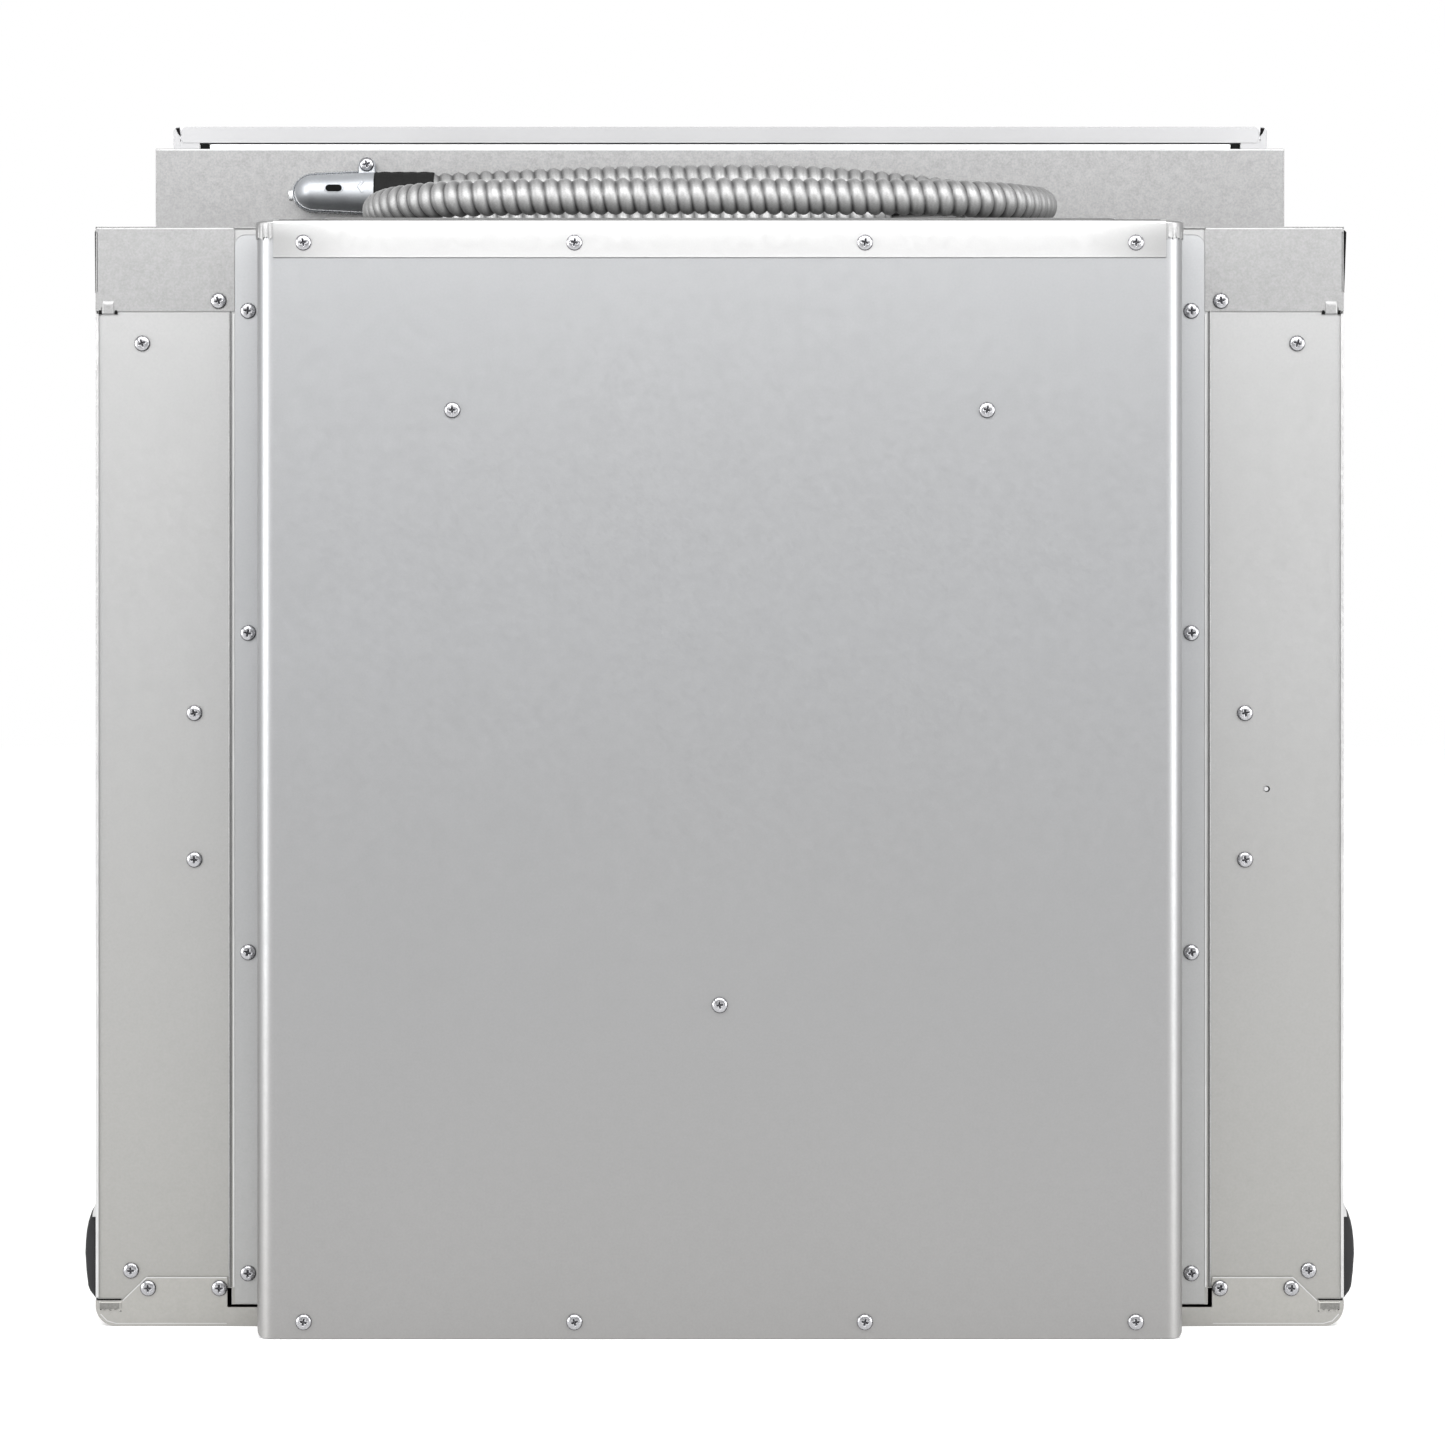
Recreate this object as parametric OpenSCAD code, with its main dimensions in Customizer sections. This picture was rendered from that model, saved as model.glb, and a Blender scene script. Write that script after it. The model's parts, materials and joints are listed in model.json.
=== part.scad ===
// Built-in single electric wall oven, seen and modelled as an assembly of its real pieces.
// Millimetres. +Z is up, the front faces -Y, the back faces +Y.
// The origin is at the bottom centre of the whole oven.

/* [Chassis] */
// Width of the steel chassis that goes into the cabinet
body_w = 717.5; // [660:0.5:730]
// Depth from the front frame's face to the back panel's face
body_d = 550; // [480:1:620]
// Height of the top deck above the base
deck_h = 632; // [600:1:680]
// Thickness of the sheet steel
sheet_t = 1; // [0.8:0.1:1.2]
// Height of the raised duct on the deck, which the conduit lies on
plateau_h = 10.5; // [6:0.5:14]

/* [Rear cover] */
// Width of the raised rear cover
cover_w = 524; // [420:1:560]
// How far the rear cover stands out from the back panel
cover_proud = 48.5; // [40:0.5:60]
// Radius of the cover's upright corners
cover_corner_r = 8; // [4:0.5:12]
// Width of the cover's side flanges
cover_flange_w = 18.6; // [16:0.1:22]

/* [Control box and fascia] */
// How far the control box's back wall is in front of the back panel
control_setback = 287; // [260:1:320]
// Height of the control box above the deck
control_h = 71; // [60:1:85]
// Width of the front fascia and of the door
fascia_w = 756; // [750:1:780]
// How far the fascia's top edge stands above the deck
fascia_rise = 110; // [100:1:150]
// How far the fascia's lower edge is below the deck
fascia_drop = 3; // [2:0.5:6]
// Height of the rear-facing lip along the fascia's top
fascia_lip_h = 11; // [9:0.5:13]

/* [Door] */
// Thickness of the door, front skin to inner pan
door_t = 36; // [32:1:44]
// Height of the vent gap between the door and the fascia
vent_h = 17; // [15:1:22]
// Height of the door's bottom edge above the base
door_bottom = 34; // [32:1:38]
// Width of the door's window
window_w = 470; // [380:1:500]
// Height of the door's window
window_h = 240; // [180:1:280]
// Radius of the handle bar
handle_r = 12; // [9:0.5:13]
// How far the handle's front stands out from the door
handle_reach = 50; // [44:1:60]

/* [Cavity] */
// Inside width of the oven cavity
cavity_w = 610; // [560:1:612]
// Inside height of the oven cavity
cavity_h = 430; // [400:1:436]
// Inside depth of the oven cavity
cavity_d = 470; // [430:1:474]
// Height of the cavity floor above the base
cavity_floor = 100; // [96:1:104]
// Height of the lower rack above the cavity floor
lower_rack_rise = 150; // [140:1:170]
// Height of the upper rack above the cavity floor
upper_rack_rise = 275; // [260:1:300]

/* [Convection fan] */
// Radius of the convection fan wheel
fan_r = 72; // [60:1:80]
// Radius of the fan shaft
fan_shaft_r = 4; // [3:0.5:5]
// Radius of the fan motor
motor_r = 38; // [32:1:44]

/* [Fasteners and fits] */
// Diameter of a sheet-metal screw's domed head
screw_head_d = 9.2; // [8:0.1:10]
// Height of a screw's domed head
screw_head_h = 2.4; // [2:0.1:3]
// Radius of a screw's shank
screw_shank_r = 2; // [1.6:0.1:2.2]
// Radius of the holes in the front frame for the cabinet screws
cabinet_hole_r = 2.25; // [2:0.05:2.5]
// Radial clearance of a turning shaft in its bore
running_fit = 0.05; // [0.02:0.01:0.08]
// Gap left between neighbouring pieces that must not touch
piece_gap = 0.4; // [0.3:0.05:0.6]

/* [Conduit] */
// Outside diameter of the flexible metal conduit
conduit_d = 22.4; // [20:0.1:23]

/* [Hidden] */
$fn = 48;

// Fore and aft places, all worked out from the overall depth
door_gap = 4;
overall_d = handle_reach + door_t + door_gap + body_d + cover_proud + sheet_t + screw_head_h;
rear_y = overall_d / 2 - screw_head_h - sheet_t - cover_proud;
front_y = rear_y - body_d;
door_back_y = front_y - door_gap;
door_front_y = door_back_y - door_t;
control_y = rear_y - control_setback;
frame_t = 1.5;

// Heights that follow the deck
overall_h = deck_h + fascia_rise;
fascia_bottom = deck_h - fascia_drop;
control_top = deck_h + control_h;
door_top = fascia_bottom - vent_h;

// Raised cover and the flanges around it
cover_z0 = 0.5;
flange_z0 = 12.5;
flange_z1 = deck_h - 4.5;
flange_edge_x = cover_w / 2 + cover_flange_w;
strip_w = cover_w - 20;
strip_h = 20.5;
corner_plate_h = 48.5;
rim_h = 10;
base_flange_h = 28.5;
base_flange_low_h = 15;
base_chamfer_x = body_w / 2 - 29.25;
base_corner_r = 12;

// Cavity places
liner_t = 1.2;
insulation_t = 40;
cavity_front_y = front_y + frame_t + piece_gap;
cavity_back_y = cavity_front_y + cavity_d;
cavity_top = cavity_floor + cavity_h;
fan_z = cavity_floor + cavity_h / 2;
wheel_y = cavity_back_y - 9;

// Racks and their side guides
rack_rod_r = 3;
guide_rod_r = 2.5;
rack_d = cavity_d - 85;
rack_front_y = cavity_front_y + 24;
rack_rod_x = cavity_w / 2 - 17;
guide_x = cavity_w / 2 - 14;

// Door hinge
hinge_z = door_bottom + 6;
hinge_y = front_y - 13;
hinge_x = 270;
hinge_pin_r = 4;

// Cooling blower on the deck
blower_w = 270;
blower_y = control_y - 75;
duct_w = 400;

// Knobs
knob_x = 230;
knob_z = deck_h + 52;
knob_shaft_r = 3;

// Conduit and its connector
dome_r = conduit_d / 2 + 1.3;
conduit_z = deck_h + 43;
conduit_y = control_y + 14;
connector_x0 = 218.5;
connector_x1 = 269;
sleeve_len = 38;
sleeve_r = conduit_d / 2 + 1.2;

// Screw places as [x, z]; the first four groups go through the rear cover
outer_screw_x = cover_w / 2 - 27;
inner_screw_x = 82;
row_x = [-outer_screw_x, -inner_screw_x, inner_screw_x, outer_screw_x];
strip_screws = [for (x = row_x) [x, deck_h - 12.5]];
bottom_screws = [for (x = row_x) [x, 10]];
field_screws = [[-151, 525], [151, 525], [0, 189]];
side_flange_screws = [for (s = [-1, 1], z = [30.5, 215, 398.5, deck_h - 48.3]) [s * (cover_w / 2 + 9), z]];
wing_places = [[26.75, deck_h - 67], [56.75, 352.5], [56.75, 268.2], [20.25, 32]];
wing_screws = [for (s = [-1, 1], p = wing_places) [s * (body_w / 2 - p[0]), p[1]]];
base_screws = [for (s = [-1, 1], x = [flange_edge_x + 6.9, body_w / 2 - 30.25]) [s * x, 22]];
corner_screws = [for (s = [-1, 1]) [s * (flange_edge_x + 7.4), deck_h - 42.6]];

// The conduit's centre line as [x, distance in front of the back panel, height above the deck]
conduit_route = [
  [218.5, 273, 43], [199, 273, 43], [178, 273, 43.2], [120, 270, 45.6], [60, 268, 47.6],
  [0, 268, 48.4], [-50, 268, 47.8], [-90, 268, 45.2], [-130, 262, 40.5], [-165, 246, 34.5],
  [-188, 218, 29], [-196, 186, 26.4], [-188, 154, 25.4], [-165, 124, 25.2], [-125, 104, 25.2],
  [-60, 96, 25.2], [0, 93, 25.2], [60, 94, 25.2], [120, 100, 25.2], [160, 112, 25],
  [190, 136, 24.4], [206, 166, 23.2], [207, 196, 22.4], [196, 226, 22], [172, 250, 22],
  [140, 262, 22], [100, 264, 22], [50, 258, 22], [0, 244, 22], [-50, 226, 22],
  [-100, 206, 22]
];

// ---------------------------------------------------------------- shared shapes

// A box given by its low and high corners
module span(lo, hi) {
  translate(lo) cube(hi - lo);
}

// A round bar from one point to another along X, Y or Z
module bar_x(x0, x1, y, z, r) {
  translate([x0, y, z]) rotate([0, 90, 0]) cylinder(h = x1 - x0, r = r);
}

module bar_y(y0, y1, x, z, r) {
  translate([x, y0, z]) rotate([-90, 0, 0]) cylinder(h = y1 - y0, r = r);
}

module bar_z(z0, z1, x, y, r) {
  translate([x, y, z0]) cylinder(h = z1 - z0, r = r);
}

// The same thing on the left and on the right
module both_sides() {
  children();
  mirror([1, 0, 0]) children();
}

// An outline in X and Z, pushed back from y0 to y1
module plate_y(y0, y1) {
  translate([0, y1, 0]) rotate([90, 0, 0]) linear_extrude(y1 - y0) children();
}

// A rectangle centred on X with round corners of radius r
module round_rect(w, z0, z1, r) {
  for (x = [-w / 2 + r, w / 2 - r], z = [z0 + r, z1 - r]) translate([x, z]) circle(r);
  translate([-w / 2 + r, z0]) square([w - 2 * r, z1 - z0]);
  translate([-w / 2, z0 + r]) square([w, z1 - z0 - 2 * r]);
}

// Domed screw with a cross recess, its head's flat side on the plane y = 0, pointing to +Y
module screw(length) {
  dome_sphere_r = (screw_head_d * screw_head_d / 4 + screw_head_h * screw_head_h) / (2 * screw_head_h);
  slot_w = 1;
  slot_depth = 1.1;
  difference() {
    intersection() {
      translate([0, screw_head_h - dome_sphere_r, 0]) sphere(dome_sphere_r);
      bar_y(0, screw_head_h + 1, 0, 0, screw_head_d / 2);
    }
    for (a = [0, 90]) rotate([0, a, 0])
      translate([-2.2, screw_head_h - slot_depth, -slot_w / 2]) cube([4.4, 2, slot_w]);
  }
  bar_y(-length, 0.01, 0, 0, screw_shank_r);
}

// Screws, or the holes for them, at a list of places on a plane y
module screws_at(places, y, length = 7) {
  for (p = places) translate([p[0], y, p[1]]) screw(length);
}

module holes_at(places, y, depth = 9) {
  for (p = places) bar_y(y - depth, y + 4, p[0], p[1], screw_shank_r + 0.15);
}

cover_face_y = rear_y + cover_proud;
strip_face_y = cover_face_y + sheet_t;
plate_face_y = rear_y + sheet_t;

module cover_holes() {
  holes_at(strip_screws, strip_face_y);
  holes_at(bottom_screws, cover_face_y);
  holes_at(field_screws, cover_face_y);
  holes_at(side_flange_screws, plate_face_y);
}

module panel_holes() {
  holes_at(wing_screws, rear_y);
  holes_at(base_screws, plate_face_y);
  holes_at(corner_screws, plate_face_y);
}

// ---------------------------------------------------------------- casing

// Raised cover over the fan motor and wiring, with a flange down each side
module rear_cover() color("silver") {
  r = cover_corner_r;
  inner_r = r - sheet_t;
  half = cover_w / 2;
  difference() {
    union() {
      difference() {
        cover_block(half, cover_face_y, r, cover_z0, deck_h - sheet_t - piece_gap);
        translate([0, 0, -1])
          cover_block(half - sheet_t, cover_face_y - sheet_t, inner_r, cover_z0, deck_h + 2);
      }
      both_sides() side_flange();
    }
    cover_holes();
  }
}

// Solid block with its two rear upright corners rounded
module cover_block(half, y1, r, z0, z1) {
  span([-half, rear_y, z0], [half, y1 - r, z1]);
  span([-half + r, rear_y, z0], [half - r, y1, z1]);
  both_sides() bar_z(z0, z1, half - r, y1 - r, r);
}

// Flat flange on the back panel, with its upper outer corner rounded
module side_flange() {
  r = 8;
  x0 = cover_w / 2 - sheet_t;
  plate_y(rear_y, plate_face_y) {
    translate([x0, flange_z0]) square([flange_edge_x - x0, flange_z1 - r - flange_z0]);
    translate([x0, flange_z0]) square([flange_edge_x - r - x0, flange_z1 - flange_z0]);
    translate([flange_edge_x - r, flange_z1 - r]) circle(r);
  }
}

// Flat back panel whose outer parts are the two wings
module back_panel() color("gainsboro") {
  half = body_w / 2 - sheet_t - piece_gap;
  difference() {
    plate_y(rear_y - sheet_t, rear_y) round_rect(2 * half, 2, deck_h - sheet_t - piece_gap, 1);
    cover_holes();
    panel_holes();
    both_sides() corner_slot();
    both_sides() span([half - base_corner_r, rear_y - 5, 0], [half + 1, rear_y + 5, base_corner_r + 1 + piece_gap]);
    bar_y(rear_y - 5, rear_y + 5, 44.25 - body_w / 2, 308.8, 1.8);
    bar_y(rear_y - 5, rear_y + 5, 0, fan_z, fan_shaft_r + 4);
    both_sides() span([100, rear_y - 5, 300], [125, rear_y + 5, 330]);
    both_sides() span([150, rear_y - 5, 120], [190, rear_y + 5, 150]);
    span([120, rear_y - 5, 470], [150, rear_y + 5, 500]);
  }
}

// L-shaped slot round the lower end of each cover flange
module corner_slot() {
  span([flange_edge_x, rear_y - 5, 11], [flange_edge_x + 2.4, rear_y + 5, 22]);
  span([cover_w / 2 + 1, rear_y - 5, 11], [flange_edge_x + 2.4, rear_y + 5, flange_z0]);
}

// Rim of the deck that wraps round the rear cover's upright corners
module cover_rim() {
  half = cover_w / 2;
  z0 = deck_h - rim_h;
  difference() {
    cover_block(half + sheet_t, strip_face_y, cover_corner_r + sheet_t, z0, deck_h - sheet_t / 2);
    translate([0, 0, -1]) cover_block(half, cover_face_y, cover_corner_r, z0, deck_h + 2);
    span([-half - 5, rear_y - 1, z0 - 1], [half + 5, plate_face_y + piece_gap, deck_h + 1]);
  }
}

// Top deck: a flat top with a raised duct, a strip down over the cover and two corner plates
module top_deck() color("gainsboro") {
  half = body_w / 2;
  z1 = deck_h;
  z0 = deck_h - sheet_t;
  difference() {
    union() {
      span([-half, cavity_front_y, z0], [half, plate_face_y, z1]);
      cover_block(cover_w / 2 + sheet_t, strip_face_y, cover_corner_r + sheet_t, z0, z1);
      cover_rim();
      span([-strip_w / 2, cover_face_y, z1 - strip_h], [strip_w / 2, strip_face_y, z0 + 0.5]);
      both_sides() corner_plate();
      span([-235, rear_y - 280, z0], [235, rear_y - 66, z1 + plateau_h]);
    }
    span([-234, rear_y - 279, z0 - 1], [234, rear_y - 67, z1 + plateau_h - sheet_t]);
    cover_holes();
    panel_holes();
    span([-duct_w / 2 - 1, front_y, z0 - 1], [duct_w / 2 + 1, front_y + 27, z1 + 1]);
    both_sides() span([314, control_y - 90, z0 - 1], [334, control_y - 60, z1 + 1]);
  }
}

// Flange at each rear corner of the deck, with a small hooked tab at its outer foot
module corner_plate() {
  x0 = flange_edge_x + 0.6;
  x1 = body_w / 2;
  plate_z0 = deck_h - corner_plate_h;
  difference() {
    span([x0, rear_y, plate_z0], [x1, plate_face_y, deck_h - 0.5]);
    span([x1 - 1.2, rear_y - 1, plate_z0 + 11], [x1 + 1, plate_face_y + 1, deck_h - sheet_t - 2]);
    for (x = [x1 - 10, x1 - 4.5])
      span([x, rear_y - 1, plate_z0 - 1], [x + 1.4, plate_face_y + 1, plate_z0 + 2]);
  }
}

module side_panel_shape() {
  x1 = body_w / 2;
  x0 = x1 - sheet_t;
  difference() {
    span([x0, front_y + frame_t, base_corner_r + 1], [x1, rear_y, deck_h - sheet_t]);
    span([x0 - 1, rear_y - 60, 30], [x1 + 1, rear_y - 20, 52]);
  }
}

module side_panel_left() color("gainsboro") side_panel_shape();
module side_panel_right() color("gainsboro") mirror([1, 0, 0]) side_panel_shape();

// Base pan: bottom, side and rear upstands, and a tongue that closes the rear cover's foot
module base_pan() color("silver") {
  half = body_w / 2;
  r = base_corner_r;
  y0 = front_y + frame_t + piece_gap;
  tongue = cover_w / 2 - sheet_t - piece_gap;
  tongue_y = cover_face_y - sheet_t;
  difference() {
    union() {
      difference() {
        plate_y(y0, rear_y) round_rect(2 * half, 0, 60, r);
        plate_y(y0 - 1, rear_y - sheet_t - piece_gap)
          round_rect(2 * (half - sheet_t), sheet_t, 70, r - sheet_t);
        span([-half - 1, y0 - 1, base_corner_r + 1], [half + 1, rear_y + 1, 61]);
        span([-half + r, rear_y - sheet_t - piece_gap, sheet_t], [half - r, rear_y + 1, 61]);
      }
      span([-tongue, rear_y - 5, 0], [tongue, cover_face_y - r, sheet_t]);
      span([-tongue + r, rear_y - 5, 0], [tongue - r, tongue_y, sheet_t]);
      span([-tongue + r, tongue_y - sheet_t, 0], [tongue - r, tongue_y, 20]);
      both_sides() base_rear_flange();
    }
    holes_at(bottom_screws, cover_face_y);
    panel_holes();
    both_sides() corner_slot();
  }
}

// Rear upstand of the base pan on each wing: high inside, chamfered down to the corner
module base_rear_flange() {
  half = body_w / 2;
  r = base_corner_r;
  x0 = cover_w / 2 + piece_gap;
  drop = base_flange_h - base_flange_low_h;
  plate_y(rear_y, plate_face_y) difference() {
    union() {
      translate([x0, 0]) square([half - r - x0, base_flange_low_h]);
      translate([x0, r]) square([half - x0, base_flange_low_h - r]);
      intersection() {
        translate([half - r, r]) circle(r);
        square([half, base_flange_low_h]);
      }
      polygon([[flange_edge_x + 2.4, base_flange_low_h - 1], [flange_edge_x + 2.4, base_flange_h],
        [base_chamfer_x, base_flange_h], [base_chamfer_x + drop, base_flange_low_h],
        [base_chamfer_x + drop, base_flange_low_h - 1]]);
    }
    translate([x0 - 1, 11]) square([flange_edge_x + 3.4 - x0, 10]);
  }
}

// Flat frame round the cavity's mouth, with the cabinet screw holes in its side strips
cabinet_hole_x = body_w / 2 + 5.5;
cabinet_hole_z = [130, deck_h - 102];

module front_frame() color("lightgray") {
  difference() {
    span([-body_w / 2 - 11, front_y, 0], [body_w / 2 + 11, front_y + frame_t, deck_h]);
    span([-cavity_w / 2, front_y - 1, cavity_floor], [cavity_w / 2, front_y + 5, cavity_top]);
    span([-duct_w / 2, front_y - 1, deck_h - 17], [duct_w / 2, front_y + 5, deck_h - 5]);
    both_sides() span([hinge_x - 9, front_y - 1, hinge_z - 10], [hinge_x + 9, front_y + 5, hinge_z + 10]);
    both_sides() for (z = cabinet_hole_z) bar_y(front_y - 1, front_y + 5, cabinet_hole_x, z, cabinet_hole_r);
    span([latch_x - 22, front_y - 1, latch_z - 5], [latch_x + 22, front_y + 5, latch_z + 5]);
    bar_y(front_y - 1, front_y + 5, switch_x, switch_z, 4.2);
    for (x = [-240:20:240]) span([x - 7, front_y - 1, 8], [x + 7, front_y + 5, 14]);
  }
}

// Control box: back wall, top and sides on the deck behind the fascia
module control_box() color("gainsboro") {
  half = body_w / 2;
  z0 = deck_h + 0.05;
  difference() {
    span([-half, front_y, z0], [half, control_y, control_top]);
    span([-half + sheet_t, front_y - 1, z0 - 1], [half - sheet_t, control_y - sheet_t, control_top - sheet_t]);
    bar_y(control_y - 3, control_y + 3, connector_x1 - dome_r - 8, conduit_z, 9);
  }
}

// Fascia: front panel with returns, and a lip turned down along the top at the back
module control_fascia() color("whitesmoke") {
  half = fascia_w / 2;
  t = 1.5;
  z0 = fascia_bottom;
  z1 = overall_h;
  difference() {
    span([-half, door_front_y, z0], [half, front_y, z1]);
    span([-half + t, door_front_y + t, z0 + t], [half - t, front_y + 1, z1 - t]);
    span([-132, door_front_y - 1, deck_h + 19], [132, door_front_y + t + 1, deck_h + 87]);
    for (x = [-knob_x, knob_x]) bar_y(door_front_y - 1, door_front_y + t + 1, x, knob_z, knob_shaft_r + 0.6);
  }
  plate_y(front_y - t, front_y) difference() {
    translate([-half + t / 2, z1 - fascia_lip_h]) square([2 * half - t, fascia_lip_h]);
    both_sides() translate([half - 5, z1 - fascia_lip_h - 1]) square([6, 3.5]);
  }
}

module cover_screws() color("lightsteelblue") {
  screws_at(strip_screws, strip_face_y);
  screws_at(bottom_screws, cover_face_y);
  screws_at(field_screws, cover_face_y);
  screws_at(side_flange_screws, plate_face_y);
}

module panel_screws() color("lightsteelblue") {
  screws_at(wing_screws, rear_y);
  screws_at(base_screws, plate_face_y);
  screws_at(corner_screws, plate_face_y);
}

// ---------------------------------------------------------------- controls and cooling

module display_glass() color("black")
  span([-131.5, door_front_y, deck_h + 19.5], [131.5, door_front_y + 3, deck_h + 86.5]);

// Board behind the fascia with the display block and the two encoder bodies
module control_board() color("darkgreen") {
  board_y = door_front_y + 14;
  difference() {
    union() {
      span([-260, board_y, deck_h + 14], [260, board_y + 1.6, deck_h + 92]);
      span([-120, door_front_y + 4, deck_h + 24], [120, board_y, deck_h + 82]);
      for (x = [-knob_x, knob_x]) span([x - 8, board_y - 7, knob_z - 8], [x + 8, board_y, knob_z + 8]);
      for (x = [-60, -20, 20, 60]) span([x - 8, board_y + 1.6, deck_h + 28], [x + 8, board_y + 8, deck_h + 44]);
    }
    for (x = [-knob_x, knob_x])
      bar_y(board_y - 8, board_y - 1, x, knob_z, knob_shaft_r + running_fit);
  }
}

// Knob with a pointer ridge, a skirt and its own shaft
module knob(x) {
  difference() {
    union() {
      bar_y(door_front_y - 22, door_front_y - 4, x, knob_z, 19);
      bar_y(door_front_y - 4, door_front_y - 1, x, knob_z, 23);
      bar_y(door_front_y - 1.5, door_front_y + 12.5, x, knob_z, knob_shaft_r);
    }
    span([x - 1, door_front_y - 23, knob_z + 6], [x + 1, door_front_y - 20.5, knob_z + 20]);
  }
}

module knob_function() color("dimgray") knob(knob_x);
module knob_temperature() color("dimgray") knob(-knob_x);

// Relay board on stand-offs on the deck
module power_board() color("darkgreen") {
  y0 = control_y - 200;
  z0 = deck_h + plateau_h + 6;
  span([-340, y0, z0], [-215, y0 + 150, z0 + 1.6]);
  for (x = [-330, -225], y = [y0 + 8, y0 + 142]) bar_z(deck_h, z0, x, y, 3.5);
  for (i = [0:3]) span([-332 + 28 * i, y0 + 20, z0 + 1.6], [-310 + 28 * i, y0 + 45, z0 + 20]);
  span([-330, y0 + 70, z0 + 1.6], [-280, y0 + 120, z0 + 30]);
  for (i = [0:4]) bar_z(z0 + 1.6, z0 + 20, -262, y0 + 62 + 16 * i, 5.5);
}

// Terminal block by the connector, where the supply leads join the oven's own wiring
module terminal_block() color("ivory") {
  y0 = control_y - 70;
  difference() {
    span([240, y0, deck_h], [306, y0 + 30, deck_h + 24]);
    for (i = [0:2]) span([244 + 21 * i, y0 - 1, deck_h + 14], [261 + 21 * i, y0 + 31, deck_h + 25]);
  }
  for (i = [0:2]) bar_z(deck_h + 14, deck_h + 18, 252.5 + 21 * i, y0 + 15, 4);
}

// Long blower housing with a duct that runs forward and down to the vent
module blower_housing() color("gray") {
  half = blower_w / 2;
  y0 = blower_y - 30;
  y1 = blower_y + 30;
  z0 = deck_h + plateau_h + 1;
  z1 = z0 + 56;
  duct_top = z0 + 24;
  fy = front_y + frame_t + piece_gap;
  difference() {
    union() {
      span([-half, y0, z0], [half, y1, z1]);
      span([-duct_w / 2, fy, z0], [duct_w / 2, y0 + 1, duct_top]);
      span([-duct_w / 2, fy, deck_h - 19], [duct_w / 2, fy + 22, duct_top]);
    }
    span([-half + 1.5, y0 + 1.5, z0 + 1.5], [half - 1.5, y1 - 1.5, z1 - 1.5]);
    span([-half + 1.5, y0 - 3, z0 + 1.5], [half - 1.5, y0 + 5, duct_top - 1.5]);
    span([-duct_w / 2 + 1.5, fy + 1.5, z0 + 1.5], [duct_w / 2 - 1.5, y0 - 0.5, duct_top - 1.5]);
    span([-duct_w / 2 + 1.5, fy + 1.5, deck_h - 17.5], [duct_w / 2 - 1.5, fy + 20.5, z0 + 3]);
    span([-duct_w / 2 + 1.5, fy - 1, deck_h - 16], [duct_w / 2 - 1.5, fy + 3, deck_h - 6]);
    span([-half + 8, blower_y - 12, z1 - 3], [half - 8, y1 - 8, z1 + 1]);
    bar_x(half - 3, half + 3, blower_y, wheel_axis_z, 6);
  }
}

wheel_axis_z = deck_h + plateau_h + 1 + 28;

// Tangential blower wheel: end discs, blades and a shaft into the motor
module blower_wheel() color("dimgray") {
  half = blower_w / 2 - 8;
  r = 22;
  translate([0, blower_y, wheel_axis_z]) {
    for (x = [-half, -1, half - 2]) bar_x(x, x + 2, 0, 0, r);
    for (a = [0:24:359]) rotate([a, 0, 0]) span([-half, r - 6, -0.6], [half, r - 1, 0.6]);
    bar_x(-half - 3, half + 28, 0, 0, 3);
  }
}

module blower_motor() color("slategray") {
  x0 = blower_w / 2 + piece_gap;
  difference() {
    union() {
      bar_x(x0, x0 + 34, blower_y, wheel_axis_z, 24);
      span([x0 + 4, blower_y - 18, deck_h + plateau_h], [x0 + 30, blower_y + 18, wheel_axis_z]);
    }
    bar_x(x0 - 1, x0 + 26, blower_y, wheel_axis_z, 3 + running_fit);
  }
}

// Slotted trim between the door and the fascia
module vent_trim() color("dimgray") difference() {
  span([-fascia_w / 2 + 4, front_y - 30, door_top + 2], [fascia_w / 2 - 4, front_y, fascia_bottom - 1]);
  span([-fascia_w / 2 + 6, front_y - 28, door_top + 3.5], [fascia_w / 2 - 6, front_y + 1, fascia_bottom - 2.5]);
  for (x = [-340:20:340]) span([x - 8, front_y - 31, door_top + 5], [x + 8, front_y - 27, fascia_bottom - 4]);
}

// Slotted trim under the door
module bottom_trim() color("dimgray") difference() {
  span([-body_w / 2 - 11, front_y - 3.6, 2], [body_w / 2 + 11, front_y - 0.1, door_bottom - 5]);
  for (x = [-240:20:240]) span([x - 7, front_y - 5, 8], [x + 7, front_y + 1, 14]);
}

// ---------------------------------------------------------------- cavity

// Enamelled five-sided box; its back has holes for the shaft, the elements, the lamp and the sensor
module cavity_liner() color("midnightblue") {
  half = cavity_w / 2;
  difference() {
    span([-half - liner_t, cavity_front_y, cavity_floor - liner_t],
      [half + liner_t, cavity_back_y + liner_t, cavity_top + liner_t]);
    span([-half, cavity_front_y - 1, cavity_floor], [half, cavity_back_y, cavity_top]);
    back_wall_holes(2);
  }
}

lamp_x = 230;
lamp_z = cavity_top - 60;
sensor_x = -240;
sensor_z = cavity_top - 40;
bake_z = cavity_floor + 20;
broil_z = cavity_top - 24;
element_r = 4;
terminal_x = 30;
conv_r = 92;
conv_gap = 14;
conv_terminal_z = fan_z + sqrt(conv_r * conv_r - conv_gap * conv_gap);

// Everything that passes through the cavity's back wall
module back_wall_holes(reach) {
  y0 = cavity_back_y - reach;
  y1 = cavity_back_y + reach;
  bar_y(y0, y1, 0, fan_z, fan_shaft_r + 3);
  bar_y(y0, y1, lamp_x, lamp_z, 22);
  bar_y(y0, y1, sensor_x, sensor_z, 4);
  for (x = [-terminal_x, terminal_x], z = [bake_z, broil_z]) bar_y(y0, y1, x, z, element_r + 0.5);
  for (x = [-conv_gap, conv_gap]) bar_y(y0, y1, x, conv_terminal_z, element_r + 0.5);
}

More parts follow.
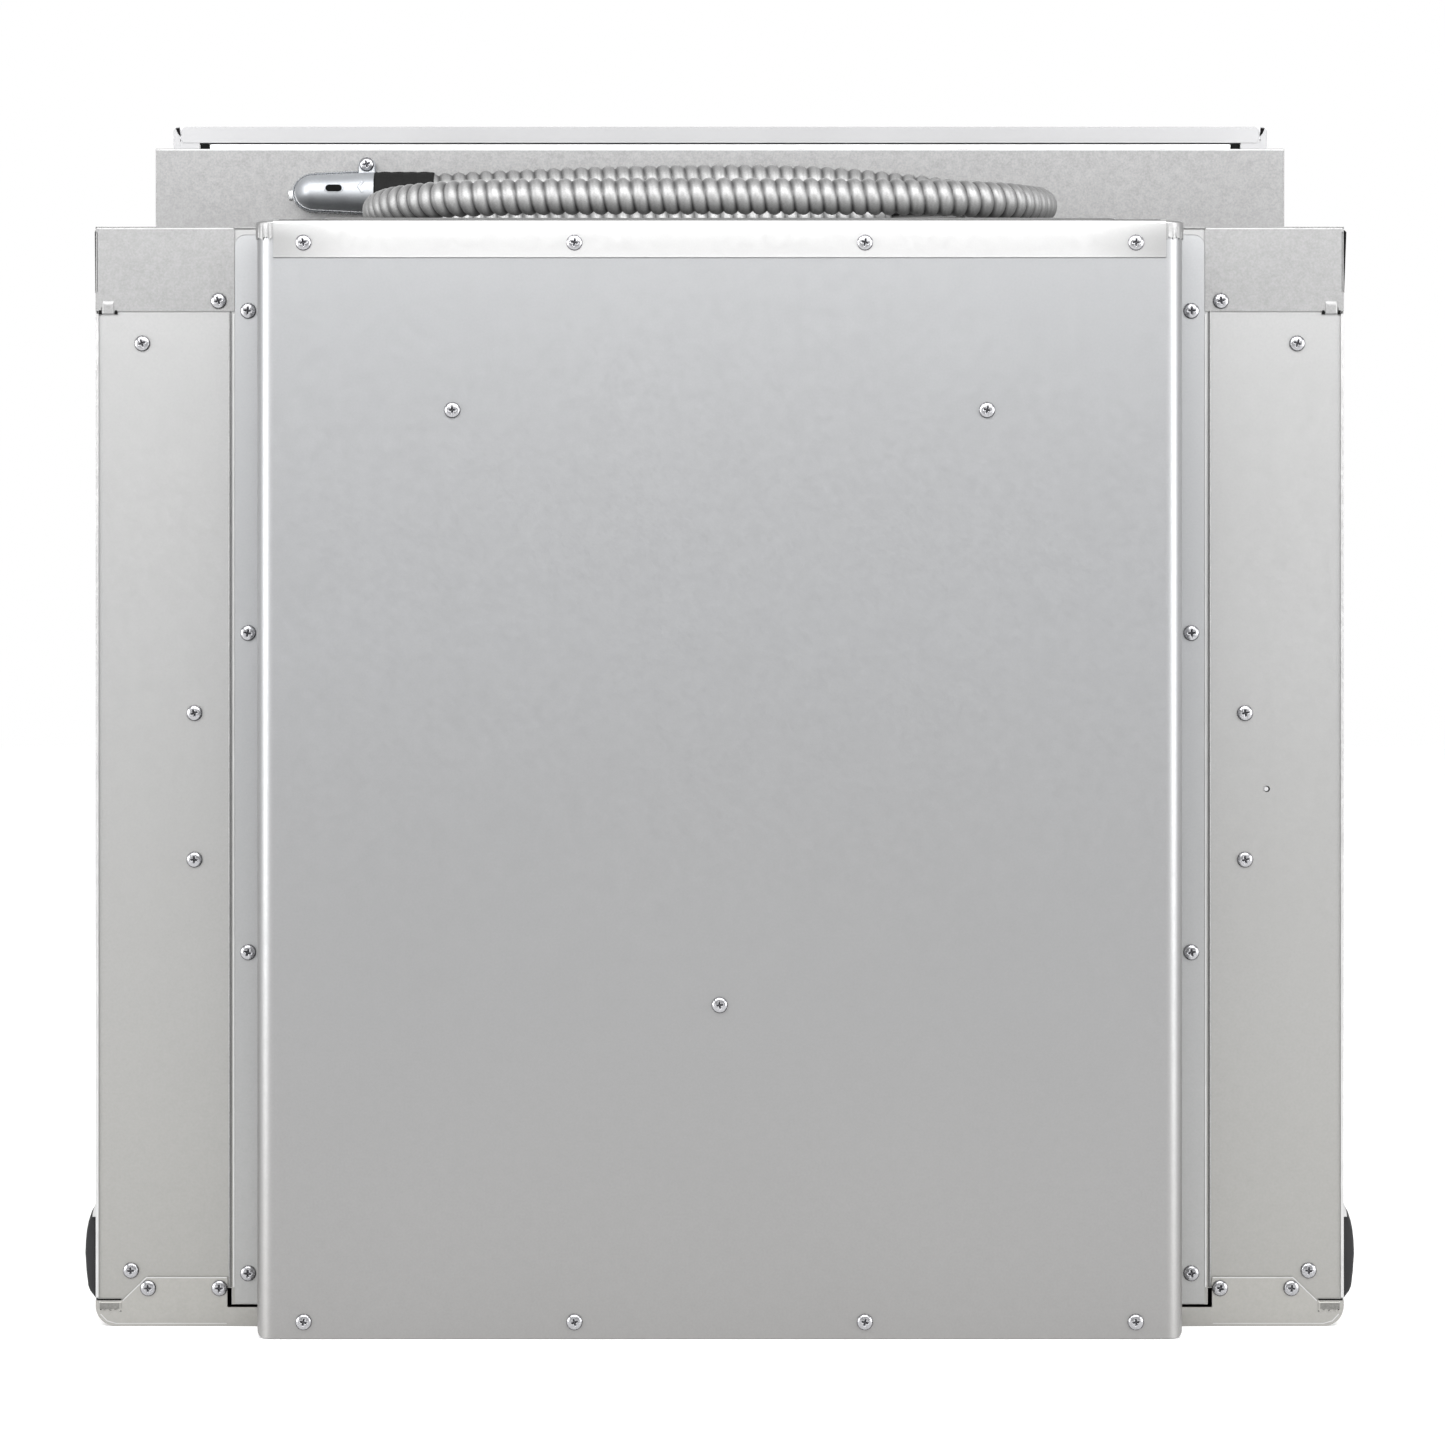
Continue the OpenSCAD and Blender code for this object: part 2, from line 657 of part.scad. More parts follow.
// Glass-wool slabs: over, under and beside the cavity
module insulation_blankets() color("khaki") {
  half = cavity_w / 2 + liner_t + piece_gap;
  y0 = cavity_front_y;
  y1 = cavity_back_y;
  z0 = cavity_floor - liner_t - piece_gap;
  z1 = cavity_top + liner_t + piece_gap;
  both_sides() span([half, y0, z0], [half + insulation_t, y1, z1]);
  span([-half, y0, z1 + piece_gap], [half, y1, z1 + piece_gap + insulation_t]);
  span([-half, y0 + 40, z0 - piece_gap - 30], [half, y1, z0 - piece_gap]);
}

// Slab behind the cavity, with a round clearing for the shaft and slots for terminals
module insulation_back() color("khaki") {
  y0 = cavity_back_y + liner_t + piece_gap;
  y1 = rear_y - sheet_t - 8;
  half = cavity_w / 2;
  difference() {
    span([-half, y0, cavity_floor], [half, y1, cavity_top]);
    bar_y(y0 - 1, y1 + 1, 0, fan_z, 30);
    bar_y(y0 - 1, y1 + 1, lamp_x, lamp_z, 30);
    bar_y(y0 - 1, y1 + 1, sensor_x, sensor_z, 8);
    for (z = [bake_z, broil_z]) span([-45, y0 - 1, z - 12], [45, y1 + 1, z + 12]);
    span([-30, y0 - 1, conv_terminal_z - 14], [30, y1 + 1, conv_terminal_z + 14]);
  }
}

// Quarter bend of an element tube in the XY plane, centred at [x, y], starting at angle a
module bend(x, y, z, r, a) {
  translate([x, y, z]) rotate([0, 0, a]) rotate_extrude(angle = 90) translate([r, 0]) circle(element_r);
}

// Heating loop: a rounded rectangle with two legs through the back wall
module heating_loop(half, y0, y1, z) {
  r = 40;
  leg_r = 20;
  end_y = cavity_back_y + 45;
  both_sides() {
    bar_y(y0 + r, y1 - r, half, z, element_r);
    bend(half - r, y0 + r, z, r, 270);
    bend(half - r, y1 - r, z, r, 0);
    bar_x(terminal_x + leg_r, half - r, y1, z, element_r);
    bend(terminal_x + leg_r, y1 + leg_r, z, leg_r, 180);
    bar_y(y1 + leg_r, end_y, terminal_x, z, element_r);
  }
  bar_x(-half + r, half - r, y0, z, element_r);
}

module bake_element() color("dimgray")
  heating_loop(240, cavity_front_y + 60, cavity_back_y - 60, bake_z);

module broil_element() color("dimgray")
  heating_loop(220, cavity_front_y + 70, cavity_back_y - 60, broil_z);

baffle_half = 130;
baffle_depth = 34;

// Ring element round the fan wheel, open at the top where its two ends turn back
module convection_element() color("dimgray") {
  y = cavity_back_y - 14;
  gap_a = asin(conv_gap / conv_r);
  translate([0, y, fan_z]) rotate([90, 90 + gap_a - 180, 0])
    rotate_extrude(angle = 360 - 2 * gap_a) translate([conv_r, 0]) circle(element_r);
  for (x = [-conv_gap, conv_gap]) bar_y(y, cavity_back_y + 45, x, conv_terminal_z, element_r - 0.4);
}

// Steel cover over the fan inside the cavity, with an inlet grid and side outlets
module fan_baffle() color("midnightblue") {
  y0 = cavity_back_y - baffle_depth;
  difference() {
    span([-baffle_half, y0, fan_z - baffle_half], [baffle_half, cavity_back_y - 0.1, fan_z + baffle_half]);
    span([-baffle_half + liner_t, y0 + liner_t, fan_z - baffle_half + liner_t],
      [baffle_half - liner_t, cavity_back_y + 1, fan_z + baffle_half - liner_t]);
    for (x = [-44:22:44]) span([x - 7, y0 - 1, fan_z - 44], [x + 7, y0 + 3, fan_z + 44]);
    both_sides() span([baffle_half - 3, y0 + 8, fan_z - 90], [baffle_half + 1, cavity_back_y - 8, fan_z + 90]);
  }
}

// Fan wheel with its blades and the long shaft that goes back to the motor
module fan_wheel() color("silver") {
  shaft_end = rear_y + 26;
  translate([0, 0, fan_z]) {
    bar_y(wheel_y, wheel_y + 1.5, 0, 0, fan_r);
    bar_y(wheel_y - 14, shaft_end, 0, 0, fan_shaft_r);
    for (a = [0:45:359]) rotate([0, a, 0])
      span([26, wheel_y - 12, -0.8], [fan_r - 1, wheel_y + 0.5, 0.8]);
  }
}

// Motor behind the back panel, under the rear cover, on its bracket
module fan_motor() color("slategray") {
  y0 = rear_y + 8;
  difference() {
    union() {
      bar_y(y0, y0 + 30, 0, fan_z, motor_r);
      span([-60, rear_y, fan_z - 12], [-50, y0 + 4, fan_z + 12]);
      span([50, rear_y, fan_z - 12], [60, y0 + 4, fan_z + 12]);
      span([-60, y0, fan_z - 12], [60, y0 + 4, fan_z + 12]);
    }
    bar_y(y0 - 1, y0 + 20, 0, fan_z, fan_shaft_r + running_fit);
  }
}

// Wire rack: outer frame, cross bars and long wires
module rack(rise) {
  z = cavity_floor + rise + 5.2;
  y0 = rack_front_y;
  y1 = rack_front_y + rack_d;
  x = rack_rod_x;
  wire_r = 1.8;
  for (s = [-1, 1]) bar_y(y0, y1, s * x, z, rack_rod_r);
  for (y = [y0, y0 + 130, y0 + 255, y1]) bar_x(-x, x, y, z, rack_rod_r - 0.3);
  for (i = [-11:11]) bar_y(y0, y1, i * x / 12, z, wire_r);
}

module rack_upper() color("silver") rack(upper_rack_rise);
module rack_lower() color("silver") rack(lower_rack_rise);

// Side ladder that carries the racks, one level for each rack position
module rack_guide(s) {
  y0 = cavity_front_y + 20;
  y1 = y0 + rack_d + 7;
  z0 = cavity_floor + 12;
  z1 = cavity_floor + upper_rack_rise + 60;
  for (y = [y0 + 40, y1 - 40]) bar_z(z0, z1, s * (guide_x + 4), y, guide_rod_r + 0.4);
  for (rise = [50, 100, lower_rack_rise, (lower_rack_rise + upper_rack_rise) / 2, upper_rack_rise, upper_rack_rise + 45])
    bar_y(y0, y1, s * guide_x, cavity_floor + rise, guide_rod_r);
  for (y = [y0 + 40, y1 - 40], z = [z0 + 8, z1 - 8])
    bar_x(s > 0 ? guide_x : -cavity_w / 2, s > 0 ? cavity_w / 2 : -guide_x, y, z, 1.8);
}

module rack_guide_left() color("silver") rack_guide(1);
module rack_guide_right() color("silver") rack_guide(-1);

module lamp_housing() color("lightgray") difference() {
  union() {
    bar_y(cavity_back_y - 3, cavity_back_y + 44, lamp_x, lamp_z, 21.5);
    bar_y(cavity_back_y - 3, cavity_back_y - 0.1, lamp_x, lamp_z, 30);
  }
  bar_y(cavity_back_y - 4, cavity_back_y + 40, lamp_x, lamp_z, 18);
}

module lamp_bulb() color("ivory") {
  bar_y(cavity_back_y + 8, cavity_back_y + 32, lamp_x, lamp_z, 7);
  bar_y(cavity_back_y + 32, cavity_back_y + 40, lamp_x, lamp_z, 10);
  translate([lamp_x, cavity_back_y + 8, lamp_z]) sphere(7);
}

module lamp_lens() color("lightblue") difference() {
  union() {
    bar_y(cavity_back_y - 9, cavity_back_y - 3, lamp_x, lamp_z, 28);
    bar_y(cavity_back_y - 13, cavity_back_y - 9, lamp_x, lamp_z, 22);
  }
  bar_y(cavity_back_y - 10, cavity_back_y - 2, lamp_x, lamp_z, 17);
}

// Thin probe with a fixing flange and its plug behind the cavity
module temperature_sensor() color("silver") {
  bar_y(cavity_back_y - 110, cavity_back_y + 30, sensor_x, sensor_z, 3);
  span([sensor_x - 18, cavity_back_y - 1.6, sensor_z - 8], [sensor_x + 18, cavity_back_y - 0.1, sensor_z + 8]);
}

// ---------------------------------------------------------------- door

window_z = 350;
window_rim = 12;

// Outer skin: front panel with returned edges and the window opening
module door_skin() color("whitesmoke") {
  half = fascia_w / 2;
  t = 1.5;
  difference() {
    span([-half, door_front_y, door_bottom], [half, door_back_y - 3, door_top]);
    span([-half + t, door_front_y + t, door_bottom + t], [half - t, door_back_y, door_top - t]);
    span([-half + t, door_front_y + 12, door_bottom - 1], [half - t, door_back_y, door_bottom + t + 1]);
    span([-window_w / 2, door_front_y - 1, window_z - window_h / 2],
      [window_w / 2, door_front_y + t + 1, window_z + window_h / 2]);
  }
}

module door_glass_outer() color("darkslategray")
  span([-window_w / 2 - window_rim, door_front_y + 1.5, window_z - window_h / 2 - window_rim],
    [window_w / 2 + window_rim, door_front_y + 5.5, window_z + window_h / 2 + window_rim]);

// Inner pan of the door with its own window, the latch slot and a seat for the inner glass
module door_liner() color("midnightblue") {
  half = fascia_w / 2 - 14;
  z0 = door_bottom + 26;
  z1 = door_top - 8;
  t = 1.2;
  difference() {
    union() {
      difference() {
        span([-half, door_back_y - 24, z0], [half, door_back_y, z1]);
        span([-half + t, door_back_y - 25, z0 + t], [half - t, door_back_y - t, z1 - t]);
      }
    }
    span([-window_w / 2 + 10, door_back_y - 5, window_z - window_h / 2 + 10],
      [window_w / 2 - 10, door_back_y + 1, window_z + window_h / 2 - 10]);
    span([latch_x - 18, door_back_y - 5, latch_z - 8], [latch_x + 18, door_back_y + 1, latch_z + 8]);
    both_sides() span([hinge_x - 3, door_back_y - 30, z0 - 1], [hinge_x + 3, door_back_y - t, z0 + t + 1]);
  }
}

module door_glass_inner() color("lightblue")
  span([-window_w / 2 - 4, door_back_y - 5.4, window_z - window_h / 2 - 4],
    [window_w / 2 + 4, door_back_y - 1.2, window_z + window_h / 2 + 4]);

// Woven seal round the cavity's mouth, on the door's inner pan
module door_gasket() color("dimgray") {
  w = cavity_w + 40;
  z0 = cavity_floor - 20;
  z1 = cavity_top + 20;
  plate_y(door_back_y, front_y - 0.3) difference() {
    round_rect(w, z0, z1, 26);
    round_rect(w - 20, z0 + 10, z1 - 10, 16);
  }
}

handle_z = door_top - 52;
handle_y = door_front_y - handle_reach + handle_r;
post_x = 300;

module door_handle() color("lightgray") {
  bar_x(-338, 338, handle_y, handle_z, handle_r);
  both_sides() translate([338, handle_y, handle_z]) rotate([0, 90, 0]) cylinder(h = 2, r = handle_r - 1.5);
}

module handle_posts() color("lightgray") both_sides() difference() {
  bar_y(handle_y, door_front_y, post_x, handle_z, handle_r - 3.5);
  bar_x(post_x - 20, post_x + 20, handle_y, handle_z, handle_r);
}

// Hinge arms: a knuckle on each pin and a flat arm up inside the door
module hinge_arms() color("silver") both_sides() difference() {
  union() {
    bar_x(hinge_x - 2, hinge_x + 2, hinge_y, hinge_z, 5.9);
    span([hinge_x - 2, hinge_y - 4, hinge_z], [hinge_x + 2, hinge_y + 4, hinge_z + 40]);
    span([hinge_x - 2, hinge_y - 5, hinge_z + 24], [hinge_x + 2, door_back_y - 1.2, hinge_z + 170]);
  }
  bar_x(hinge_x - 3, hinge_x + 3, hinge_y, hinge_z, hinge_pin_r + running_fit);
}

// Hinge receivers: two ears and the pin in front of the frame, on a box behind it
module hinge_receivers() color("gray") both_sides() {
  for (x = [hinge_x - 6, hinge_x + 3]) {
    span([x, hinge_y, hinge_z - 5.5], [x + 3, front_y + 20, hinge_z + 5.5]);
    bar_x(x, x + 3, hinge_y, hinge_z, 5.5);
  }
  bar_x(hinge_x - 6, hinge_x + 6, hinge_y, hinge_z, hinge_pin_r);
  span([hinge_x - 8, front_y + 2, hinge_z - 8], [hinge_x + 8, front_y + 70, hinge_z + 8]);
}

latch_x = -58;
latch_y = front_y + 34;
latch_z = deck_h - 51;

// Door lock hook, which turns on an upright pin and reaches into the door's slot
module latch_hook() color("silver") difference() {
  union() {
    bar_z(latch_z - 1.5, latch_z + 1.5, latch_x, latch_y, 7);
    span([latch_x - 4, front_y - 18, latch_z - 1.5], [latch_x + 4, latch_y, latch_z + 1.5]);
    span([latch_x - 4, front_y - 18, latch_z - 1.5], [latch_x + 10, front_y - 12, latch_z + 1.5]);
  }
  bar_z(latch_z - 3, latch_z + 3, latch_x, latch_y, 3 + running_fit);
}

module latch_motor() color("gray") {
  span([latch_x - 30, latch_y - 12, latch_z + 2.2], [latch_x + 30, latch_y + 50, latch_z + 5]);
  bar_z(latch_z - 4, latch_z + 3, latch_x, latch_y, 3);
  bar_z(latch_z + 5, latch_z + 28, latch_x, latch_y + 28, 20);
}

switch_x = 100;
switch_z = deck_h - 52;

module door_switch() color("dimgray") difference() {
  span([switch_x - 9, front_y + frame_t + 2, switch_z - 7], [switch_x + 9, front_y + 34, switch_z + 7]);
  bar_y(front_y, front_y + 25, switch_x, switch_z, 3 + running_fit);
}

module switch_plunger() color("white") {
  bar_y(front_y - 3.4, front_y + 16, switch_x, switch_z, 3);
}

// ---------------------------------------------------------------- side handles and conduit

// Moulded carrying handle on each side near the back: a hollow crescent with a foot behind the panel
module side_handles() color("black") both_sides() {
  z = 41.5;
  y0 = rear_y - 74;
  y1 = rear_y - 4;
  x = body_w / 2 + piece_gap / 4;
  difference() {
    plate_y(y0, y1) polygon([[x, z - 26.8], [x + 3.7, z - 22], [x + 4.9, z - 19], [x + 5.9, z - 10.5],
      [x + 6.6, z], [x + 6.3, z + 7], [x + 5.7, z + 13], [x + 4.6, z + 18.5], [x + 2.8, z + 24], [x, z + 28.8]]);
    span([x - 1, y0 + 5, z - 11], [x + 3.8, y1 - 5, z + 11]);
  }
}

// Stamped half-dome connector on the control box, open towards the conduit, with a slot and an ear
module conduit_connector() color("lightsteelblue") {
  difference() {
    union() {
      dome_body(dome_r, 0);
      span([connector_x0, control_y, conduit_z + 8], [connector_x0 + 11, control_y + 8, conduit_z + 22]);
      bar_y(control_y, control_y + 2, connector_x1 + 1, conduit_z - 1, 4);
    }
    dome_body(dome_r - 1.4, 3);
    span([connector_x0 + 19, control_y + 20, conduit_z - 3.8],
      [connector_x0 + 30, control_y + 40, conduit_z + 0.9]);
    bar_y(control_y - 1, control_y + 12, connector_x0 + 5.5, conduit_z + 17.4, screw_shank_r + 0.15);
  }
}

// Rounded hood from the wall out: a half-round bar with a ball end
module dome_body(r, extra) {
  x_end = connector_x1 - dome_r;
  bar_x(connector_x0 - extra, x_end, conduit_y, conduit_z, r);
  translate([x_end, conduit_y, conduit_z]) sphere(r);
  bar_y(control_y - extra, conduit_y, x_end, conduit_z, r);
  span([connector_x0 - extra, control_y - extra, conduit_z - r], [x_end, conduit_y, conduit_z + r]);
}

module connector_screw() color("lightsteelblue")
  translate([connector_x0 + 5.5, control_y + 8, conduit_z + 17.4]) screw(7);

module conduit_sleeve() color("black") difference() {
  bar_x(connector_x0 - sleeve_len, connector_x0 - 0.1, conduit_y, conduit_z, sleeve_r);
  bar_x(connector_x0 - sleeve_len - 1, connector_x0 + 1, conduit_y, conduit_z, conduit_d / 2 + 0.3);
}

function route_point(i) = [conduit_route[i][0], rear_y - conduit_route[i][1], deck_h + conduit_route[i][2]];
function unit(v) = v / norm(v);
function route_dir(i) = let (n = len(conduit_route) - 1)
  unit(route_point(min(i + 1, n)) - route_point(max(i - 1, 0)));
function ring_point(i, a, r) = let (d = route_dir(i), side = unit(cross(d, [0, 0, 1])), up = cross(side, d))
  route_point(i) + r * (cos(a) * side + sin(a) * up);

// The conduit as one tube swept along its route
module conduit() color("darkgray") {
  sides = 12;
  rings = len(conduit_route);
  skin = [for (i = [0:rings - 1], k = [0:sides - 1]) ring_point(i, k * 360 / sides, conduit_d / 2)];
  walls = [for (i = [0:rings - 2], k = [0:sides - 1]) let (n = (k + 1) % sides)
    [i * sides + k, i * sides + n, (i + 1) * sides + n, (i + 1) * sides + k]];
  start_cap = [[for (k = [sides - 1:-1:0]) k]];
  end_cap = [[for (k = [0:sides - 1]) (rings - 1) * sides + k]];
  polyhedron(points = skin, faces = concat(walls, start_cap, end_cap));
}

// Places what follows at the conduit's far end, with +Z pointing out of it
module at_conduit_end() {
  n = len(conduit_route) - 1;
  d = route_dir(n);
  translate(route_point(n)) rotate([0, 90, atan2(d[1], d[0])]) children();
}

module conduit_bushing() color("red") at_conduit_end() difference() {
  union() {
    cylinder(h = 6, r = conduit_d / 2);
    translate([0, 0, 6]) cylinder(h = 3, r = conduit_d / 2 - 1.5);
  }
  translate([0, 0, -1]) cylinder(h = 12, r = conduit_d / 2 - 4);
}

// Ends of the supply leads that stand out of the bushing
module supply_leads() color("dimgray") at_conduit_end()
  for (a = [45:90:359]) rotate([0, 0, a]) translate([3.4, 0, 1]) cylinder(h = 52, r = 2);

// ---------------------------------------------------------------- assembly

rear_cover();
back_panel();
top_deck();
side_panel_left();
side_panel_right();
base_pan();
front_frame();
control_box();
control_fascia();
cover_screws();
panel_screws();
display_glass();
control_board();
knob_function();
knob_temperature();
power_board();
terminal_block();
blower_housing();
blower_wheel();
blower_motor();
vent_trim();
bottom_trim();
cavity_liner();
insulation_blankets();
insulation_back();
bake_element();
broil_element();
convection_element();
fan_baffle();
fan_wheel();
fan_motor();
rack_upper();
rack_lower();
rack_guide_left();
rack_guide_right();
lamp_housing();
lamp_bulb();
lamp_lens();
temperature_sensor();
door_skin();
door_glass_outer();
door_liner();
door_glass_inner();
door_gasket();
door_handle();
handle_posts();
hinge_arms();
hinge_receivers();
latch_hook();
latch_motor();
door_switch();
switch_plunger();
side_handles();
conduit_connector();
connector_screw();
conduit_sleeve();
conduit();
conduit_bushing();
supply_leads();
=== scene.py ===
"""Looks of the built-in wall oven: fine meshes, materials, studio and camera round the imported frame.

The oven stands on z = 0 with its door towards -Y and its rear cover towards +Y. All lengths are metres.
"""
import json
import math

import bmesh
import bpy
import mathutils
import numpy as np
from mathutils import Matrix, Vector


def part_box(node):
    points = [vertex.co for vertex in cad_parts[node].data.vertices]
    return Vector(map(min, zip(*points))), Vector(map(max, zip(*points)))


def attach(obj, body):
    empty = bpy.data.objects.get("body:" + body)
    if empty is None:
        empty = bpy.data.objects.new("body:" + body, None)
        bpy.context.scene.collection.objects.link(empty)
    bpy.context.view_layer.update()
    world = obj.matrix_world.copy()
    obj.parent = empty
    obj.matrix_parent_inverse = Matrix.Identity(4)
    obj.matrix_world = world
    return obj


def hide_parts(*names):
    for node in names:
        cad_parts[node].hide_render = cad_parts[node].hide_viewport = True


bl_info = {
    "name": "Built-in wall oven",
    "version": (1, 0, 0),
    "blender": (4, 5, 0),
    "location": "3D View > Sidebar > Oven",
    "description": "Builds the sheet metal, conduit, door and finishes of a built-in wall oven",
    "category": "Object",
}

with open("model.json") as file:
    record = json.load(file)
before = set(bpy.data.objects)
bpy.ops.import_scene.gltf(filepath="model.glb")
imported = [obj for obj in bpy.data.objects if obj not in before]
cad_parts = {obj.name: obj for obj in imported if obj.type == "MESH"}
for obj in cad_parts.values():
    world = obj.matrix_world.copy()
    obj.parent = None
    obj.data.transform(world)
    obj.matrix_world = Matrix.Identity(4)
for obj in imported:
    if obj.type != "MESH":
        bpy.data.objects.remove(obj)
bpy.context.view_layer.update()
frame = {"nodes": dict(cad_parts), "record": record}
MM = 0.001


def low(node):
    """Lowest corner of a CAD node's box."""
    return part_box(node)[0]


def high(node):
    """Highest corner of a CAD node's box."""
    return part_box(node)[1]


SHEET = 1.0 * MM
REAR_Y = high("back_panel")[1]
FACE_Y = high("rear_cover")[1]
STRIP_Y = high("top_deck")[1]
DECK_Z = high("side_panel_left")[2] + SHEET
PLATE_FOOT_Z = DECK_Z - 48.5 * MM
BODY_X = high("side_panel_left")[0]
COVER_X = 262 * MM
CONTROL_Y = high("control_box")[1]
FRONT_Y = low("control_box")[1]


# ------------------------------------------------------------------ settings

def length(name, text, value):
    return bpy.props.FloatProperty(name=name, description=text, default=value, unit="LENGTH", precision=4)


def tint(name, text, value):
    return bpy.props.FloatVectorProperty(name=name, description=text, default=value, subtype="COLOR", size=3)


class OvenSizes(bpy.types.PropertyGroup):
    bead_radius: length("Bead radius", "Outer radius of the rear cover's upright corners", 10 * MM)
    flange_width: length("Flange width", "Width of the rear cover's side flanges", 16.6 * MM)
    screw_diameter: length("Screw head", "Diameter of a domed screw head", 9.2 * MM)
    screw_height: length("Screw height", "Height of a domed screw head", 2.38 * MM)
    conduit_diameter: length("Conduit diameter", "Outside diameter over the conduit's ridges", 22.4 * MM)
    conduit_pitch: length("Conduit pitch", "Distance from one ridge of the conduit to the next", 8.6 * MM)
    ridge_depth: length("Ridge depth", "Depth of the groove between two ridges", 2.5 * MM)
    camera_distance: length("Camera distance", "From the back panel to the camera", 2.714)
    camera_height: length("Camera height", "Height of the camera above the base", 0.4301)
    lens: bpy.props.FloatProperty(name="Lens", description="Focal length in millimetres", default=117.6)


class OvenColours(bpy.types.PropertyGroup):
    cover: tint("Cover steel", "Zinc-coated sheet of the raised cover", (0.235, 0.238, 0.243))
    wing: tint("Wing steel", "Zinc-coated sheet of the wings, sides and deck", (0.275, 0.275, 0.275))
    base: tint("Base steel", "Slightly warm zinc-coated sheet of the base pan", (0.255, 0.251, 0.238))
    fascia: tint("Fascia enamel", "Pale enamel of the fascia and door skin", (0.40, 0.40, 0.41))
    conduit: tint("Conduit metal", "Aluminium strip of the conduit", (0.265, 0.265, 0.265))
    zinc: tint("Screw zinc", "Bright zinc plate of the screws", (0.27, 0.27, 0.28))
    handle: tint("Side handle plastic", "Black plastic of the carrying handles", (0.013, 0.013, 0.014))


def sizes():
    return bpy.context.scene.oven_sizes


def colours():
    return bpy.context.scene.oven_colours


# ------------------------------------------------------------------ material building

class Shader:
    """One material's node tree with short ways to add what this oven's finishes need."""

    def __init__(self, name):
        self.material = bpy.data.materials.get(name) or bpy.data.materials.new(name)
        self.material.use_nodes = True
        self.tree = self.material.node_tree
        self.tree.nodes.clear()
        self.out = self.tree.nodes.new("ShaderNodeOutputMaterial")
        self.bsdf = self.tree.nodes.new("ShaderNodeBsdfPrincipled")
        self.tree.links.new(self.bsdf.outputs["BSDF"], self.out.inputs["Surface"])
        self.coords = self.tree.nodes.new("ShaderNodeTexCoord")

    def link(self, source, target):
        self.tree.links.new(source, target)

    def set(self, **values):
        """Gives the shader's own sockets constants or textures: underscores stand for the blanks in their names."""
        for key, value in values.items():
            socket = self.bsdf.inputs[key.replace("_", " ")]
            if isinstance(value, bpy.types.NodeSocket):
                self.link(value, socket)
            else:
                socket.default_value = (*value, 1.0) if isinstance(value, tuple) and len(value) == 3 else value

    def place(self, scale, coordinate="Object"):
        """Coordinates stretched by scale, which is one number, or one for each axis."""
        node = self.tree.nodes.new("ShaderNodeMapping")
        node.inputs["Scale"].default_value = scale if isinstance(scale, tuple) else (scale, scale, scale)
        self.link(self.coords.outputs[coordinate], node.inputs["Vector"])
        return node.outputs["Vector"]

    def noise(self, scale, detail=3.0, roughness=0.55, coordinate="Object"):
        node = self.tree.nodes.new("ShaderNodeTexNoise")
        node.inputs["Scale"].default_value = 1.0
        node.inputs["Detail"].default_value = detail
        node.inputs["Roughness"].default_value = roughness
        self.link(self.place(scale, coordinate), node.inputs["Vector"])
        return node.outputs["Fac"]

    def cells(self, scale, feature="F1", output="Color"):
        node = self.tree.nodes.new("ShaderNodeTexVoronoi")
        node.feature = feature
        node.inputs["Scale"].default_value = 1.0
        self.link(self.place(scale), node.inputs["Vector"])
        return node.outputs[output]

    def math(self, kind, a, b=0.0, c=0.0):
        node = self.tree.nodes.new("ShaderNodeMath")
        node.operation = kind
        for socket, value in zip(node.inputs, (a, b, c)):
            if isinstance(value, (int, float)):
                socket.default_value = value
            else:
                self.link(value, socket)
        return node.outputs[0]

    def spread(self, source, low_out, high_out, low_in=0.3, high_in=0.7):
        """Turns a texture's middle range into a range of values."""
        node = self.tree.nodes.new("ShaderNodeMapRange")
        for key, value in (("From Min", low_in), ("From Max", high_in), ("To Min", low_out), ("To Max", high_out)):
            node.inputs[key].default_value = value
        self.link(source, node.inputs["Value"])
        return node.outputs["Result"]

    def blend(self, factor, first, second):
        """Mixes two colours; each is three numbers or a socket."""
        node = self.tree.nodes.new("ShaderNodeMix")
        node.data_type = "RGBA"
        self.link(factor, node.inputs[0])
        for index, value in ((6, first), (7, second)):
            if isinstance(value, (tuple, list)) or hasattr(value, "__len__"):
                node.inputs[index].default_value = (*tuple(value)[:3], 1.0)
            else:
                self.link(value, node.inputs[index])
        return node.outputs[2]

    def vary(self, source, colour, darkest, lightest):
        """A colour that goes between two brightnesses with a texture."""
        return self.blend(self.spread(source, 0, 1), shade(colour, darkest), shade(colour, lightest))

    def position(self):
        """X, Y and Z of the point being shaded, in metres."""
        where = self.tree.nodes.new("ShaderNodeTexCoord")
        parts = self.tree.nodes.new("ShaderNodeSeparateXYZ")
        self.link(where.outputs["Object"], parts.inputs[0])
        return parts.outputs

    def times(self, first, second):
        """Two colours multiplied."""
        node = self.tree.nodes.new("ShaderNodeMix")
        node.data_type, node.blend_type = "RGBA", "MULTIPLY"
        node.inputs[0].default_value = 1.0
        self.link(first, node.inputs[6])
        self.link(second, node.inputs[7])
        return node.outputs[2]

    def bump(self, height, strength, distance, under=None):
        node = self.tree.nodes.new("ShaderNodeBump")
        node.inputs["Strength"].default_value = strength
        node.inputs["Distance"].default_value = distance
        self.link(height, node.inputs["Height"])
        if under is not None:
            self.link(under, node.inputs["Normal"])
        return node.outputs["Normal"]


WHITE = (1.0, 1.0, 1.0)


def shade(colour, factor):
    """A colour made lighter or darker."""
    return tuple(min(1.0, c * factor) for c in tuple(colour)[:3])


